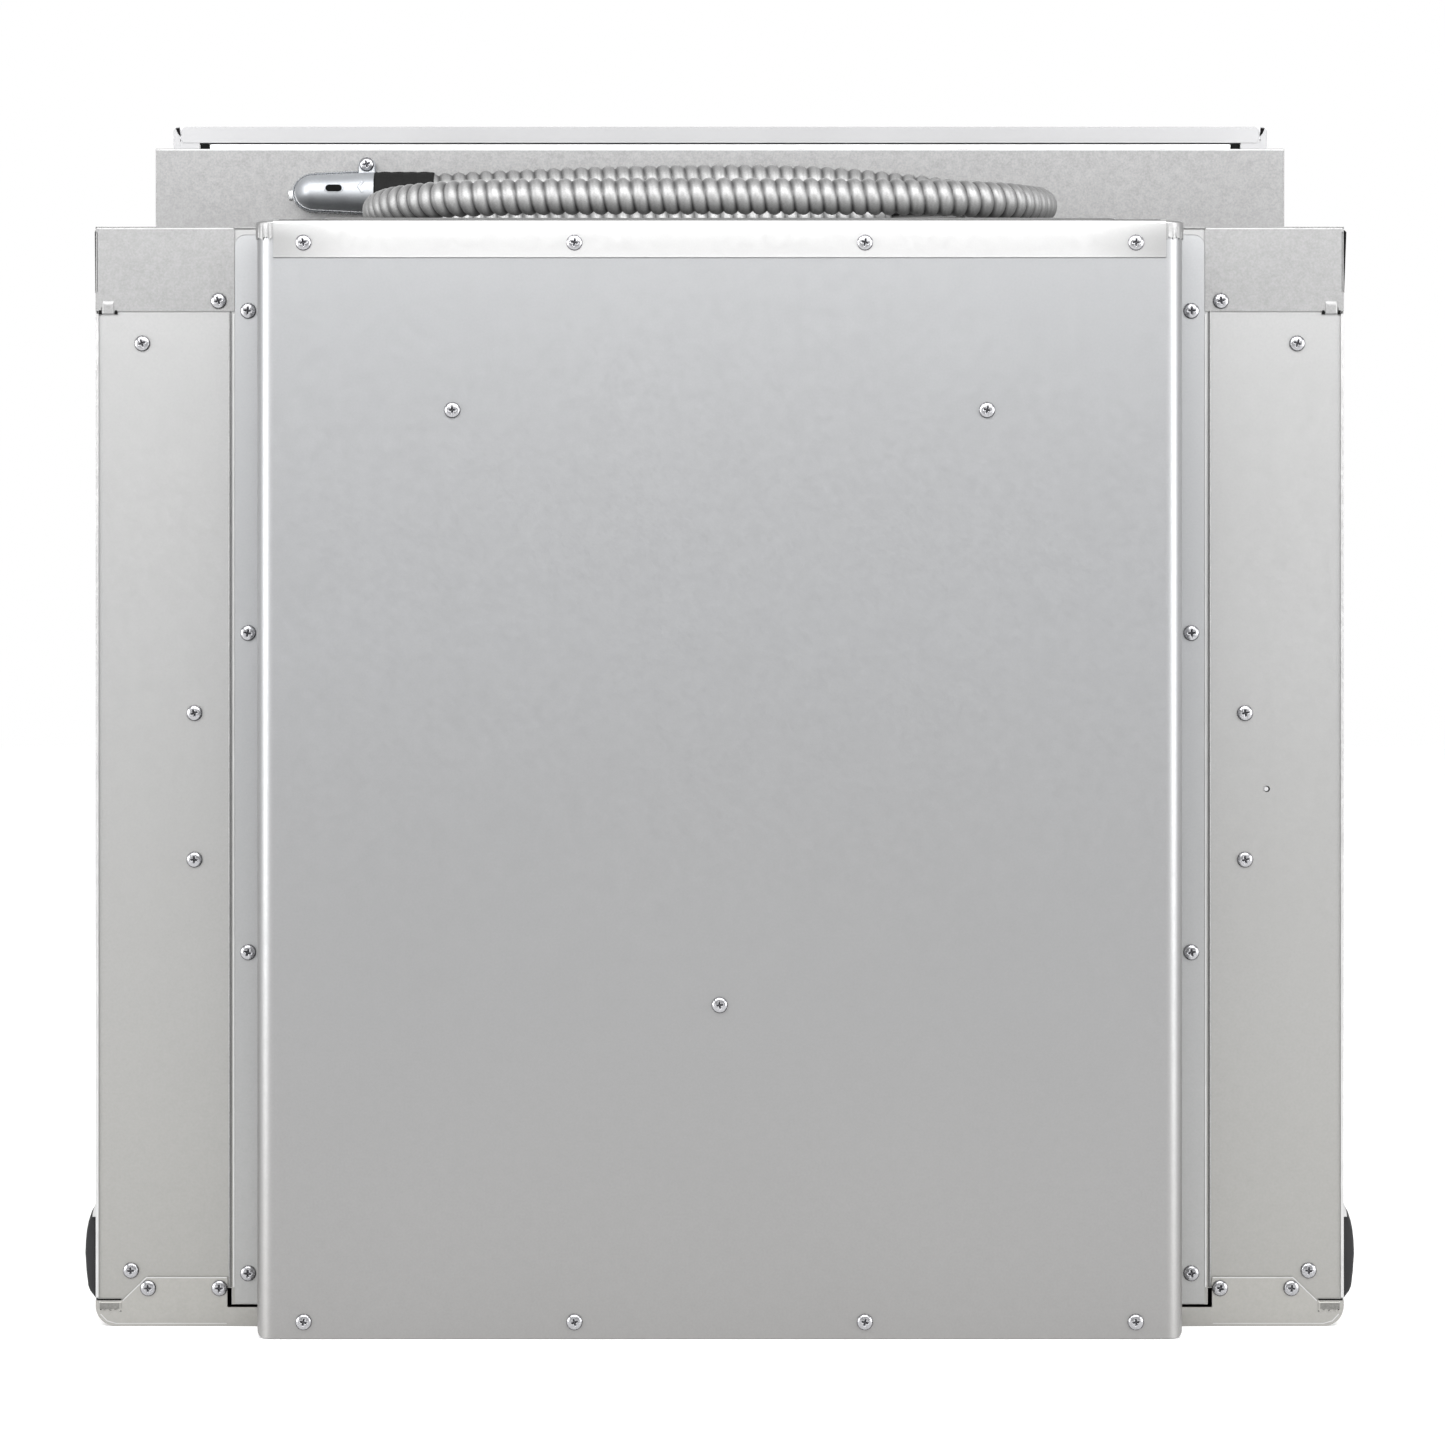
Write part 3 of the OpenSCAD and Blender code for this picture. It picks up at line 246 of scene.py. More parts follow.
def sheet_steel(name, colour, grain=(90, 90, 900), contrast=0.05, roughness=0.42, metal=0.75, cell=0.0, bump=0.05):
    """Zinc-coated sheet: a fine rolled grain, faint crystals, slow cloudy patches and small marks."""
    s = Shader(name)
    s.set(Metallic=metal)
    fine = s.noise(grain, 2.0, 0.6)
    cloud = s.noise(5, 2.0)
    both = s.math("ADD", s.math("MULTIPLY", fine, 0.7), s.math("MULTIPLY", cloud, 0.3))
    if cell > 0:
        crystals = s.cells(160)
        level = s.math("MULTIPLY", s.spread(crystals, 0, 1, 0, 1), cell)
        both = s.math("ADD", s.math("MULTIPLY", both, 1 - cell), level)
    mix = s.spread(both, 0, 1, 0.35, 0.65)
    s.set(Base_Color=s.blend(mix, shade(colour, 1 - contrast), shade(colour, 1 + contrast)),
          Roughness=s.spread(both, roughness + 0.06, roughness - 0.06), Normal=s.bump(fine, bump, 0.2 * MM))
    return s.material


def spangled(name, colour, contrast=0.05, grain=950, roughness=0.46, metal=0.92, cloud=0.015, foot=WHITE, end=1.0):
    """Hot-dipped sheet: fine even mottling like frost, over slow cloudy patches.

    Towards the floor the colour goes over to foot, and near the oven's sides it is multiplied by end: both are painted
    shade, darker where less light falls.
    """
    s = Shader(name)
    s.set(Metallic=metal)
    fine = s.noise(grain, 2.0, 0.65)
    coarse = s.noise(grain / 4, 2.0, 0.6)
    slow = s.noise(7, 1.0)
    frost = s.math("ADD", s.math("MULTIPLY", fine, 0.6), s.math("MULTIPLY", coarse, 0.4))
    mottled = s.blend(s.spread(frost, 0, 1, 0.34, 0.66), shade(colour, 1 - contrast), shade(colour, 1 + contrast))
    patchy = s.vary(slow, WHITE, 1 - cloud, 1)
    x, _, z = s.position()
    # painted shade: below 0.4 m the colour goes over to foot, and near the sides it is multiplied by end
    graded = s.times(s.times(mottled, patchy), s.blend(s.spread(z, 0, 1, 0.0, 0.40), foot, WHITE))
    aside = s.spread(s.math("ABSOLUTE", x), 0, 1, 0.205, 0.252)
    s.set(Base_Color=s.times(graded, s.blend(aside, WHITE, (end, end, end))),
          Roughness=s.spread(frost, roughness + 0.05, roughness - 0.05), Normal=s.bump(fine, 0.05, 0.15 * MM))
    return s.material


def screw_metal(name, colour):
    """Bright zinc with painted shade in the recess and round the foot of a head, and a painted shadow on one side of
    its edge.
    """
    s = Shader(name)
    s.set(Metallic=1.0)
    worn = s.noise(900, 2.0)
    dark = s.tree.nodes.new("ShaderNodeAttribute")
    dark.attribute_name = "shadow_line"
    bright = s.vary(worn, colour, 0.86, 1.08)
    s.set(Base_Color=s.blend(dark.outputs["Fac"], bright, (0.045, 0.045, 0.05)), Roughness=s.spread(worn, 0.2, 0.32))
    return s.material


def plated(name, colour, roughness=0.2, metal=1.0, pits=0.08):
    """Plated metal: smooth, with a soft patchiness of shine."""
    s = Shader(name)
    s.set(Metallic=metal)
    spots = s.noise(700, 2.0)
    cloud = s.noise(60, 2.0)
    s.set(Base_Color=s.vary(cloud, colour, 0.93, 1.05),
          Roughness=s.spread(spots, roughness - 0.05, roughness + 0.09), Normal=s.bump(spots, pits, 0.1 * MM))
    return s.material


def painted_shade(name):
    """Painted shade: a near-black finish laid into gaps, creases and shadow lines, where almost no light comes back
    out.
    """
    s = Shader(name)
    dust = s.noise(400, 2.0)
    s.set(Roughness=1.0, Specular_IOR_Level=0.0,
          Base_Color=s.blend(dust, (0.004, 0.004, 0.004), (0.008, 0.008, 0.008)))
    return s.material


def moulded(name, colour, roughness=0.5, grain=900, bump=0.25, coat=0.0, gloss=0.45):
    """Moulded plastic or rubber: a fine leathery grain and faint cloudiness."""
    s = Shader(name)
    s.set(Coat_Weight=coat, Specular_IOR_Level=gloss)
    fine = s.noise(grain)
    cloud = s.noise(25, 2.0)
    s.set(Base_Color=s.vary(cloud, colour, 0.88, 1.15),
          Roughness=s.spread(fine, roughness + 0.08, roughness - 0.08), Normal=s.bump(fine, bump, 0.1 * MM))
    return s.material


def enamel(name, colour, roughness=0.25, speck=0.0, coat=0.4):
    """Baked enamel: slight orange peel, and pale specks where speck is above zero."""
    s = Shader(name)
    s.set(Coat_Weight=coat, Coat_Roughness=0.12)
    peel = s.noise(260, 2.0)
    cloud = s.noise(12, 2.0)
    base = s.vary(cloud, colour, 0.96, 1.04)
    if speck > 0:
        dots = s.noise(900, 1.0)
        base = s.blend(s.spread(dots, 0, speck, 0.66, 0.70), base, (0.55, 0.57, 0.62))
    s.set(Base_Color=base, Roughness=s.spread(peel, roughness - 0.04, roughness + 0.06),
          Normal=s.bump(peel, 0.06, 0.2 * MM))
    return s.material


def clear_glass(name, colour, transmission=1.0, roughness=0.02):
    """Glass with a faint uneven polish."""
    s = Shader(name)
    haze = s.noise(30, 2.0)
    s.set(Transmission_Weight=transmission, IOR=1.48, Base_Color=s.vary(haze, colour, 0.97, 1.0),
          Roughness=s.spread(haze, roughness, roughness + 0.03))
    return s.material


def fibres(name, colour, scale=(180, 900, 180), contrast=0.25):
    """Glass wool or woven glass sleeve: matted threads."""
    s = Shader(name)
    threads = s.noise(scale, 4.0, 0.7)
    tufts = s.noise(40, 3.0)
    both = s.math("ADD", s.math("MULTIPLY", threads, 0.6), s.math("MULTIPLY", tufts, 0.4))
    s.set(Roughness=0.9, Sheen_Weight=0.3, Base_Color=s.vary(both, colour, 1 - contrast, 1 + contrast),
          Normal=s.bump(both, 0.6, 1.5 * MM))
    return s.material


def conduit_metal():
    """Aluminium strip wound into a hose, with streaks along the winding; painted shade makes it darker in the grooves
    and towards the top and bottom of the tube.
    """
    s = Shader("conduit_aluminium")
    s.set(Metallic=0.85)
    attribute = s.tree.nodes.new("ShaderNodeAttribute")
    attribute.attribute_name = "ridge"
    streaks = s.noise((140, 900, 1), 2.0, coordinate="UV")
    cloud = s.noise(90, 2.0)
    colour = colours().conduit
    worn = s.vary(streaks, colour, 0.86, 1.12)
    deep = s.blend(s.spread(attribute.outputs["Fac"], 0, 1, 0.0, 0.62), shade(colour, 0.22), worn)
    s.set(Base_Color=deep, Roughness=s.spread(cloud, 0.50, 0.62), Normal=s.bump(streaks, 0.08, 0.2 * MM))
    return s.material


def circuit_board():
    """Green solder mask with paler copper lanes."""
    s = Shader("circuit_board")
    lanes = s.cells((220, 220, 60), "DISTANCE_TO_EDGE", "Distance")
    s.set(Coat_Weight=0.3, Roughness=s.spread(s.noise(90), 0.3, 0.5),
          Base_Color=s.blend(s.spread(lanes, 1, 0, 0.02, 0.10), (0.02, 0.10, 0.04), (0.07, 0.24, 0.10)))
    return s.material


def dark_display():
    """Black printed glass of the display, with a slight cast of blue."""
    s = Shader("display_black")
    haze = s.noise(20, 2.0)
    s.set(Coat_Weight=1.0, Coat_Roughness=0.02, Roughness=s.spread(haze, 0.05, 0.10),
          Base_Color=s.blend(s.spread(haze, 0, 1), (0.008, 0.009, 0.011), (0.016, 0.017, 0.020)))
    return s.material


def finishes():
    """Every finish of the oven by its slot's name."""
    c = colours()
    wing = tuple(c.wing)
    return {
        # the foot colours of the cover, wing, flange and fold sheets are painted shade towards the floor
        "cover_steel": spangled("cover_sheet", tuple(c.cover), 0.018, 800, 0.44, foot=(0.86, 0.84, 0.81)),
        # strip_steel is the wing steel lightened 1.8 times, a painted highlight, and end darkens it towards its two
        # ends as painted shade
        "strip_steel": spangled("strip_sheet", shade(wing, 1.8), 0.02, 800, 0.36, 0.9, end=0.66),
        "wing_steel": spangled("wing_sheet", wing, 0.022, 700, 0.46, foot=(0.84, 0.83, 0.79)),
        "galvanised_steel": spangled("frosted_sheet", shade(wing, 0.76), 0.12, 900, 0.48),
        "base_steel": spangled("base_sheet", tuple(c.base), 0.025, 700, 0.46),
        "frame_steel": sheet_steel("frame_sheet", shade(wing, 0.95), (70, 70, 900), 0.04, 0.38, 0.9, 0.0, 0.04),
        "fascia_enamel": enamel("fascia_enamel", tuple(c.fascia), 0.3),
        "screw_zinc": screw_metal("bright_zinc", tuple(c.zinc)),
        # lip_enamel is the fascia enamel darkened: painted shade on the lip
        "lip_enamel": enamel("lip_enamel", (0.27, 0.27, 0.275), 0.4, 0.0, 0.1),
        "painted_shade": painted_shade("painted_shade"),
        # flange_steel is the cover steel lightened 1.2 times: painted light on the flanges
        "flange_steel": spangled("flange_sheet", shade(c.cover, 1.2), 0.018, 800, 0.44, foot=(0.88, 0.87, 0.84)),
        # control_steel is the wing steel darkened to 0.65: painted shade on the control box
        "control_steel": spangled("control_sheet", shade(wing, 0.65), 0.10, 900, 0.48),
        # return_enamel is the fascia enamel lightened to near white: painted light on the return
        "return_enamel": enamel("return_enamel", (0.93, 0.93, 0.93), 0.3),
        # edge_steel is brighter than the sheets round it; the edge strips in it are painted highlights, and the handle
        # clips share it
        "edge_steel": plated("edge_steel", (0.42, 0.42, 0.42), 0.4),
        # fold_steel is the wing steel darkened to 0.62: painted shade for the base's corner hollow
        "fold_steel": spangled("fold_sheet", shade(wing, 0.62), 0.16, 900, 0.48, foot=(0.85, 0.84, 0.8)),
        # rim_zinc is the connector's zinc lightened to twice its brightness: a painted highlight on the rolled rim and
        # tab
        "rim_zinc": plated("rim_zinc", (0.72, 0.73, 0.74), 0.25),
        "display": dark_display(),
        "board": circuit_board(),
        "knob_plastic": moulded("knob_plastic", (0.06, 0.06, 0.065), 0.32, 700, 0.12, 0.2),
        "terminal_plastic": moulded("terminal_thermoset", (0.70, 0.66, 0.54), 0.5),
        "blower_steel": sheet_steel("blower_sheet", shade(wing, 0.85), (80, 80, 800), 0.05, 0.45, 0.8, 0.1),
        "wheel_aluminium": plated("wheel_aluminium", (0.62, 0.63, 0.64), 0.32),
        "motor_steel": enamel("motor_lacquer", (0.10, 0.11, 0.13), 0.4),
        "trim_black": enamel("black_trim", (0.02, 0.02, 0.021), 0.4, 0.0, 0.1),
        "cavity_enamel": enamel("cavity_enamel", (0.018, 0.022, 0.040), 0.2, 0.8, 0.6),
        "glass_wool": fibres("glass_wool", (0.78, 0.68, 0.40)),
        "element_sheath": plated("element_sheath", (0.09, 0.085, 0.085), 0.5, 0.6, 0.2),
        "rack_wire": plated("rack_wire", (0.74, 0.74, 0.75), 0.14),
        "lamp_glass": clear_glass("lamp_glass", (0.95, 0.95, 0.93)),
        "window_glass": clear_glass("window_glass", (0.16, 0.165, 0.17)),
        "gasket_weave": fibres("gasket_weave", (0.16, 0.16, 0.16), (500, 500, 500), 0.35),
        "handle_metal": sheet_steel("handle_brushed", (0.66, 0.66, 0.67), (12, 900, 900), 0.06, 0.26, 1.0, 0.0, 0.05),
        "switch_plastic": moulded("switch_thermoset", (0.10, 0.10, 0.10), 0.5),
        "plunger_plastic": moulded("plunger_thermoset", (0.78, 0.76, 0.70), 0.4),
        "bumper_plastic": moulded("side_handle_plastic", tuple(c.handle), 0.6, 900, 0.2, gloss=0.2),
        "connector_zinc": plated("connector_zinc", (0.36, 0.372, 0.39), 0.55, 1.0, 0.01),
        "sleeve_black": moulded("sleeve_black", (0.007, 0.007, 0.007), 0.7, 500, 0.5, gloss=0.1),
        "conduit_metal": conduit_metal(),
        "bushing_plastic": moulded("bushing_grey", (0.12, 0.12, 0.12), 0.4),
        "lead_insulation": moulded("lead_insulation", (0.03, 0.03, 0.03), 0.4),
    }


# ------------------------------------------------------------------ mesh building

def mm(*places):
    """Places given in millimetres, as an array in metres."""
    return np.array(places, float) * MM


def within(values):
    """Values held between 0 and 1."""
    return np.clip(values, 0, 1)


def grid_faces(rows, columns, close_rows=False, close_columns=False):
    """Quads of a grid of points numbered row by row."""
    i = np.arange(rows if close_rows else rows - 1)
    j = np.arange(columns if close_columns else columns - 1)
    a, b = np.meshgrid(i, j, indexing="ij")
    a1, b1 = (a + 1) % rows, (b + 1) % columns
    quads = np.stack([a * columns + b, a1 * columns + b, a1 * columns + b1, a * columns + b1], axis=-1)
    return quads.reshape(-1, 4)


def added(name, mesh, body, replaces=()):
    """A mesh put into the scene, riding on a body and standing for CAD nodes."""
    obj = bpy.data.objects.new(name, mesh)
    bpy.context.scene.collection.objects.link(obj)
    if body:
        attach(obj, body)
    if replaces:
        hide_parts(*replaces)
    return obj


def piece(name, parts, finish, replaces=(), smooth=True, outward=False, angle=None):
    """One object of the fixed casing from a list of (points, faces) parts.

    Outward turns every face outwards; angle is the one past which the shading of two faces is split.
    """
    points, faces, start = [], [], 0
    for part_points, part_faces in parts:
        part_points = np.asarray(part_points, float).reshape(-1, 3)
        points.append(part_points)
        faces.extend((np.asarray(f) + start).tolist() for f in part_faces)
        start += len(part_points)
    mesh = bpy.data.meshes.new(name)
    mesh.from_pydata(np.concatenate(points).tolist(), [], faces)
    mesh.update()
    mesh.shade_smooth() if smooth else mesh.shade_flat()
    mesh.materials.append(FINISH[finish])
    obj = added(name, mesh, "chassis", replaces)
    if outward:
        repaired(mesh)
    if angle:
        crease(obj, angle)
    return obj


def repaired(mesh, distance=0.0):
    """Joins points that lie on each other, where a distance is given, and turns every face outwards."""
    work = bmesh.new()
    work.from_mesh(mesh)
    if distance:
        bmesh.ops.remove_doubles(work, verts=work.verts, dist=distance)
    bmesh.ops.recalc_face_normals(work, faces=work.faces)
    work.to_mesh(mesh)
    work.free()


def crease(obj, degrees=35):
    """Splits the shading where two faces meet at more than an angle."""
    modifier = obj.modifiers.new("crease", "EDGE_SPLIT")
    modifier.split_angle = math.radians(degrees)
    modifier.use_edge_sharp = False
    return obj


def arc(centre, radius, start, end, steps):
    """Points of an arc in a plane, from angle start to angle end in degrees."""
    t = np.radians(np.linspace(start, end, steps))
    return np.stack([centre[0] + radius * np.cos(t), centre[1] + radius * np.sin(t)], axis=1)


def around_circle(steps):
    """Angles of a closed ring, in radians."""
    return np.linspace(0, 2 * np.pi, steps, endpoint=False)


def directions(line):
    """Unit direction of a line at each of its points."""
    step = np.gradient(line, axis=0)
    return step / np.linalg.norm(step, axis=1)[:, None]


def distance_along(line):
    """Length of a line from its start to each of its points."""
    return np.concatenate([[0], np.cumsum(np.linalg.norm(np.diff(line, axis=0), axis=1))])


def skinned(rings, first=True):
    """A skin over rings of points; its last ring, and its first if wanted, is closed by a flat face."""
    n = len(rings[0])
    faces = [list(f) for f in grid_faces(len(rings), n, close_columns=True)]
    if first:
        faces.append(list(range(n))[::-1])
    faces.append(list(range((len(rings) - 1) * n, len(rings) * n)))
    return np.concatenate(rings), faces


def wall(outline, z0, z1, thickness):
    """An open outline in X and Y stood up between two heights, as a closed thin wall; z0 may differ along it.

    The inner line is the outline moved back along its own normal by the thickness.
    """
    outline = np.asarray(outline, float)
    tangent = directions(outline)
    normal = np.stack([tangent[:, 1], -tangent[:, 0]], axis=1)
    inner = outline + normal * thickness
    ring = np.concatenate([outline, inner[::-1]])
    foot = np.concatenate([np.broadcast_to(z0, len(outline)), np.broadcast_to(z0, len(outline))[::-1]])
    points = np.stack([np.column_stack([ring, z]) for z in (foot, np.full(len(ring), z1))])
    n = len(ring)
    faces = [list(f) for f in grid_faces(2, n, close_columns=True)]
    half = n // 2
    for k in range(half - 1):
        a, b, c, d = k, k + 1, n - 2 - k, n - 1 - k
        faces.append([a, d, c, b])
        faces.append([n + a, n + b, n + c, n + d])
    return points, faces


def slab(outline, y0, y1, bevel=0.0):
    """A closed outline in X and Z made a plate from y0 to y1, with its rear edge eased by a bevel."""
    outline = np.asarray(outline, float)
    centre = outline.mean(axis=0)
    inward = centre - outline
    inward /= np.linalg.norm(inward, axis=1)[:, None]
    rings = [(outline, y0), (outline, y1 - bevel), (outline + inward * bevel, y1)]
    if bevel == 0:
        rings = rings[:2]
    return skinned([np.column_stack([r[:, 0], np.full(len(r), y), r[:, 1]]) for r, y in rings])


def tube_frames(path):
    """Steady cross-section directions along a path: each is the last one turned as little as possible."""
    tangent = directions(path)
    side = np.empty_like(path)
    side[0] = np.cross(tangent[0], (0, 0, 1.0))
    side[0] /= np.linalg.norm(side[0])
    for k in range(1, len(path)):
        s = side[k - 1] - tangent[k] * side[k - 1].dot(tangent[k])
        side[k] = s / np.linalg.norm(s)
    return side, np.cross(tangent, side)


def smooth_path(points, step):
    """A curve through hand-set points, resampled at an even step.

    Between two points it is the cubic whose slopes at both ends follow their neighbours.
    """
    p = np.asarray(points, float)
    p = np.concatenate([[2 * p[0] - p[1]], p, [2 * p[-1] - p[-2]]])
    t = np.linspace(0, 1, 24, endpoint=False)[:, None]
    curves = []
    for a, b, c, d in zip(p[:-3], p[1:-2], p[2:-1], p[3:]):
        curves.append(0.5 * (2 * b + (c - a) * t + (2 * a - 5 * b + 4 * c - d) * t**2
                             + (3 * b - a - 3 * c + d) * t**3))
    line = np.concatenate(curves + [p[-2][None]])
    travelled = distance_along(line)
    count = int(round(travelled[-1] / step)) + 1
    even = np.linspace(0, travelled[-1], count)
    return np.column_stack([np.interp(even, travelled, line[:, k]) for k in range(3)]), travelled[-1]


# ------------------------------------------------------------------ carried-over nodes

NODE_FINISH = {
    "cover_steel": "rear_cover",
    "galvanised_steel": "back_panel top_deck side_panel_left side_panel_right control_box",
    "base_steel": "base_pan",
    "frame_steel": "front_frame hinge_receivers hinge_arms latch_hook fan_motor lamp_housing",
    "fascia_enamel": "control_fascia door_skin",
    "screw_zinc": "cover_screws panel_screws connector_screw",
    "display": "display_glass",
    "board": "control_board power_board",
    "knob_plastic": "knob_function knob_temperature",
    "terminal_plastic": "terminal_block",
    "blower_steel": "blower_housing latch_motor",
    "wheel_aluminium": "blower_wheel fan_wheel",
    "motor_steel": "blower_motor",
    "trim_black": "vent_trim bottom_trim",
    "cavity_enamel": "cavity_liner fan_baffle door_liner",
    "glass_wool": "insulation_blankets insulation_back",
    "element_sheath": "bake_element broil_element convection_element temperature_sensor",
    "rack_wire": "rack_upper rack_lower rack_guide_left rack_guide_right",
    "lamp_glass": "lamp_bulb lamp_lens",
    "window_glass": "door_glass_outer door_glass_inner",
    "gasket_weave": "door_gasket",
    "handle_metal": "door_handle handle_posts",
    "switch_plastic": "door_switch",
    "plunger_plastic": "switch_plunger",
    "bumper_plastic": "side_handles",
    "connector_zinc": "conduit_connector",
    "sleeve_black": "conduit_sleeve",
    "conduit_metal": "conduit",
    "bushing_plastic": "conduit_bushing",
    "lead_insulation": "supply_leads",
}
FINISH = {}


def body_with(node):
    """The body that a CAD node belongs to."""
    return next(b for b, nodes in frame["record"]["behaviour"]["bodies"].items() if node in nodes)


def eased(node, width, segments=2, angle=30, finish=None):
    """A copy of a CAD node with its edges rounded by width.

    The copy's corners are merged, its flat faces joined, and every edge sharper than the angle is rounded off.
    """
    mesh = bpy.data.meshes.new(node + "_eased")
    work = bmesh.new()
    work.from_mesh(frame["nodes"][node].data)
    bmesh.ops.remove_doubles(work, verts=work.verts, dist=2e-6)
    bmesh.ops.dissolve_limit(work, angle_limit=math.radians(0.5), verts=work.verts, edges=work.edges)
    work.to_mesh(mesh)
    work.free()
    mesh.shade_smooth()
    mesh.materials.clear()
    slot = next(s for s, nodes in NODE_FINISH.items() if node in nodes.split())
    mesh.materials.append(FINISH[finish or slot])
    obj = added(node + "_eased", mesh, body_with(node), [node])
    bevel = obj.modifiers.new("edges", "BEVEL")
    bevel.width, bevel.segments = width, segments
    bevel.limit_method, bevel.angle_limit = "ANGLE", math.radians(angle)
    bevel.use_clamp_overlap = True
    weighted = obj.modifiers.new("shading", "WEIGHTED_NORMAL")
    weighted.keep_sharp = False
    return obj


# ------------------------------------------------------------------ operators

class Builder(bpy.types.Operator):
    """Shared end of every piece's operator"""

    bl_options = {"REGISTER", "UNDO"}

    def execute(self, context):
        self.build(context)
        return {"FINISHED"}


class OVEN_OT_camera(Builder):
    """Places the camera behind the oven, level, with the picture shifted down"""

    bl_idname = "oven.camera"
    bl_label = "Camera"

    def build(self, context):
        s = sizes()
        data = bpy.data.cameras.new("camera")
        data.lens, data.sensor_width, data.shift_y = s.lens, 36, -0.10
        data.clip_start, data.clip_end = 0.1, 60
        camera = bpy.data.objects.new("camera", data)
        camera.location = (-1.6 * MM, REAR_Y + s.camera_distance, s.camera_height)
        camera.rotation_euler = (math.radians(90), 0, math.radians(180))
        context.scene.collection.objects.link(camera)
        context.scene.camera = camera


class OVEN_OT_finishes(Builder):
    """Makes every finish and gives it to the frame's nodes"""

    bl_idname = "oven.finishes"
    bl_label = "Finishes"

    def build(self, context):
        FINISH.update(finishes())
        for slot, nodes in NODE_FINISH.items():
            for node in nodes.split():
                data = frame["nodes"][node].data
                data.materials.clear()
                data.materials.append(FINISH[slot])


CONDUIT_ROUTE = (
    (218.5, 273, 43), (199, 273, 43), (178, 273, 43.2), (120, 270, 45.6), (60, 268, 47.6),
    (0, 268, 48.4), (-50, 268, 47.8), (-90, 268, 45.2), (-130, 262, 40.5), (-165, 246, 34.5),
    (-188, 218, 29), (-196, 186, 26.4), (-188, 154, 25.4), (-165, 124, 25.2), (-125, 104, 25.2),
    (-60, 96, 25.2), (0, 93, 25.2), (60, 94, 25.2), (120, 100, 25.2), (160, 112, 25),
    (190, 136, 24.4), (206, 166, 23.2), (207, 196, 22.4), (196, 226, 22), (172, 250, 22),
    (140, 262, 22), (100, 264, 22), (50, 258, 22), (0, 244, 22), (-50, 226, 22),
    (-100, 206, 22),
)


def conduit_route():
    """The conduit's centre line in metres; each point is X, depth in front of the back panel, height over the deck."""
    p = np.array(CONDUIT_ROUTE) * MM
    return np.column_stack([p[:, 0], REAR_Y - p[:, 1], DECK_Z + p[:, 2]])


class OVEN_OT_conduit(Builder):
    """Sweeps the conduit's wound metal strip along its route over the deck"""

    bl_idname = "oven.conduit"
    bl_label = "Conduit"

    def build(self, context):
        s = sizes()
        line, total = smooth_path(conduit_route(), s.conduit_pitch / 14)
        side, up = tube_frames(line)
        sides = 24
        a = around_circle(sides)
        travelled = np.linspace(0, total, len(line))
        # the winding advances one pitch for each turn round the tube; the groove is narrow and the ridge round,
        # with the shallow dip of the lock seam a little past its top
        phase = travelled[:, None] / s.conduit_pitch - a[None] / (2 * np.pi)
        ridge = np.abs(np.sin(np.pi * phase)) ** 0.75
        for turn in (0, 1):
            ridge = ridge - 0.16 * np.exp(-(((phase - 0.62) % 1 - turn) / 0.05) ** 2)
        wobble = 0.12 * MM * np.sin(travelled * 310)[:, None] * np.cos(a * 2)[None]
        radius = s.conduit_diameter / 2 - s.ridge_depth * (1 - ridge) - np.abs(wobble)
        points = (line[:, None] + radius[..., None] * (np.cos(a)[None, :, None] * side[:, None]
                                                       + np.sin(a)[None, :, None] * up[:, None]))
        obj = piece("conduit_tube", [skinned(points)], "conduit_metal", ["conduit"], outward=True)
        shade_value = obj.data.attributes.new("ridge", "FLOAT", "POINT")
        # painted shade: the ridge attribute is low in the grooves and falls towards the top and bottom of the tube,
        # darkening the colour there
        painted_tube_shade = ridge * (1 - 0.5 * np.abs(np.sin(a[None])) ** 2.5)
        shade_value.data.foreach_set("value", painted_tube_shade.astype(np.float32).ravel())
        uv = obj.data.uv_layers.new(name="winding")
        corner = np.empty(len(obj.data.loops), np.int32)
        obj.data.loops.foreach_get("vertex_index", corner)
        around = np.broadcast_to(a / (2 * np.pi), (len(line), sides)).ravel()
        along = np.repeat(travelled, sides)
        uv.data.foreach_set("uv", np.stack([around[corner], along[corner]], axis=1).astype(np.float32).ravel())


SCREW_ROW = (-235, -82, 82, 235)
COVER_SCREWS = (
    [(x, STRIP_Y, 619.5) for x in SCREW_ROW]
    + [(x, FACE_Y, 10) for x in SCREW_ROW]
    + [(-151, FACE_Y, 525), (151, FACE_Y, 525), (0, FACE_Y, 189)]
    + [(s * 271, REAR_Y + SHEET, z) for s in (-1, 1) for z in (30.5, 215, 398.5, 583.7)]
)
PANEL_SCREWS = (
    [(s * x, REAR_Y, z) for s in (-1, 1) for x, z in ((332, 565), (302, 352.5), (302, 268.2), (338.5, 32))]
    + [(s * x, REAR_Y + SHEET, 22) for s in (-1, 1) for x in (287.5, 328.5)]
    + [(s * 288, REAR_Y + SHEET, 589.4) for s in (-1, 1)]
)


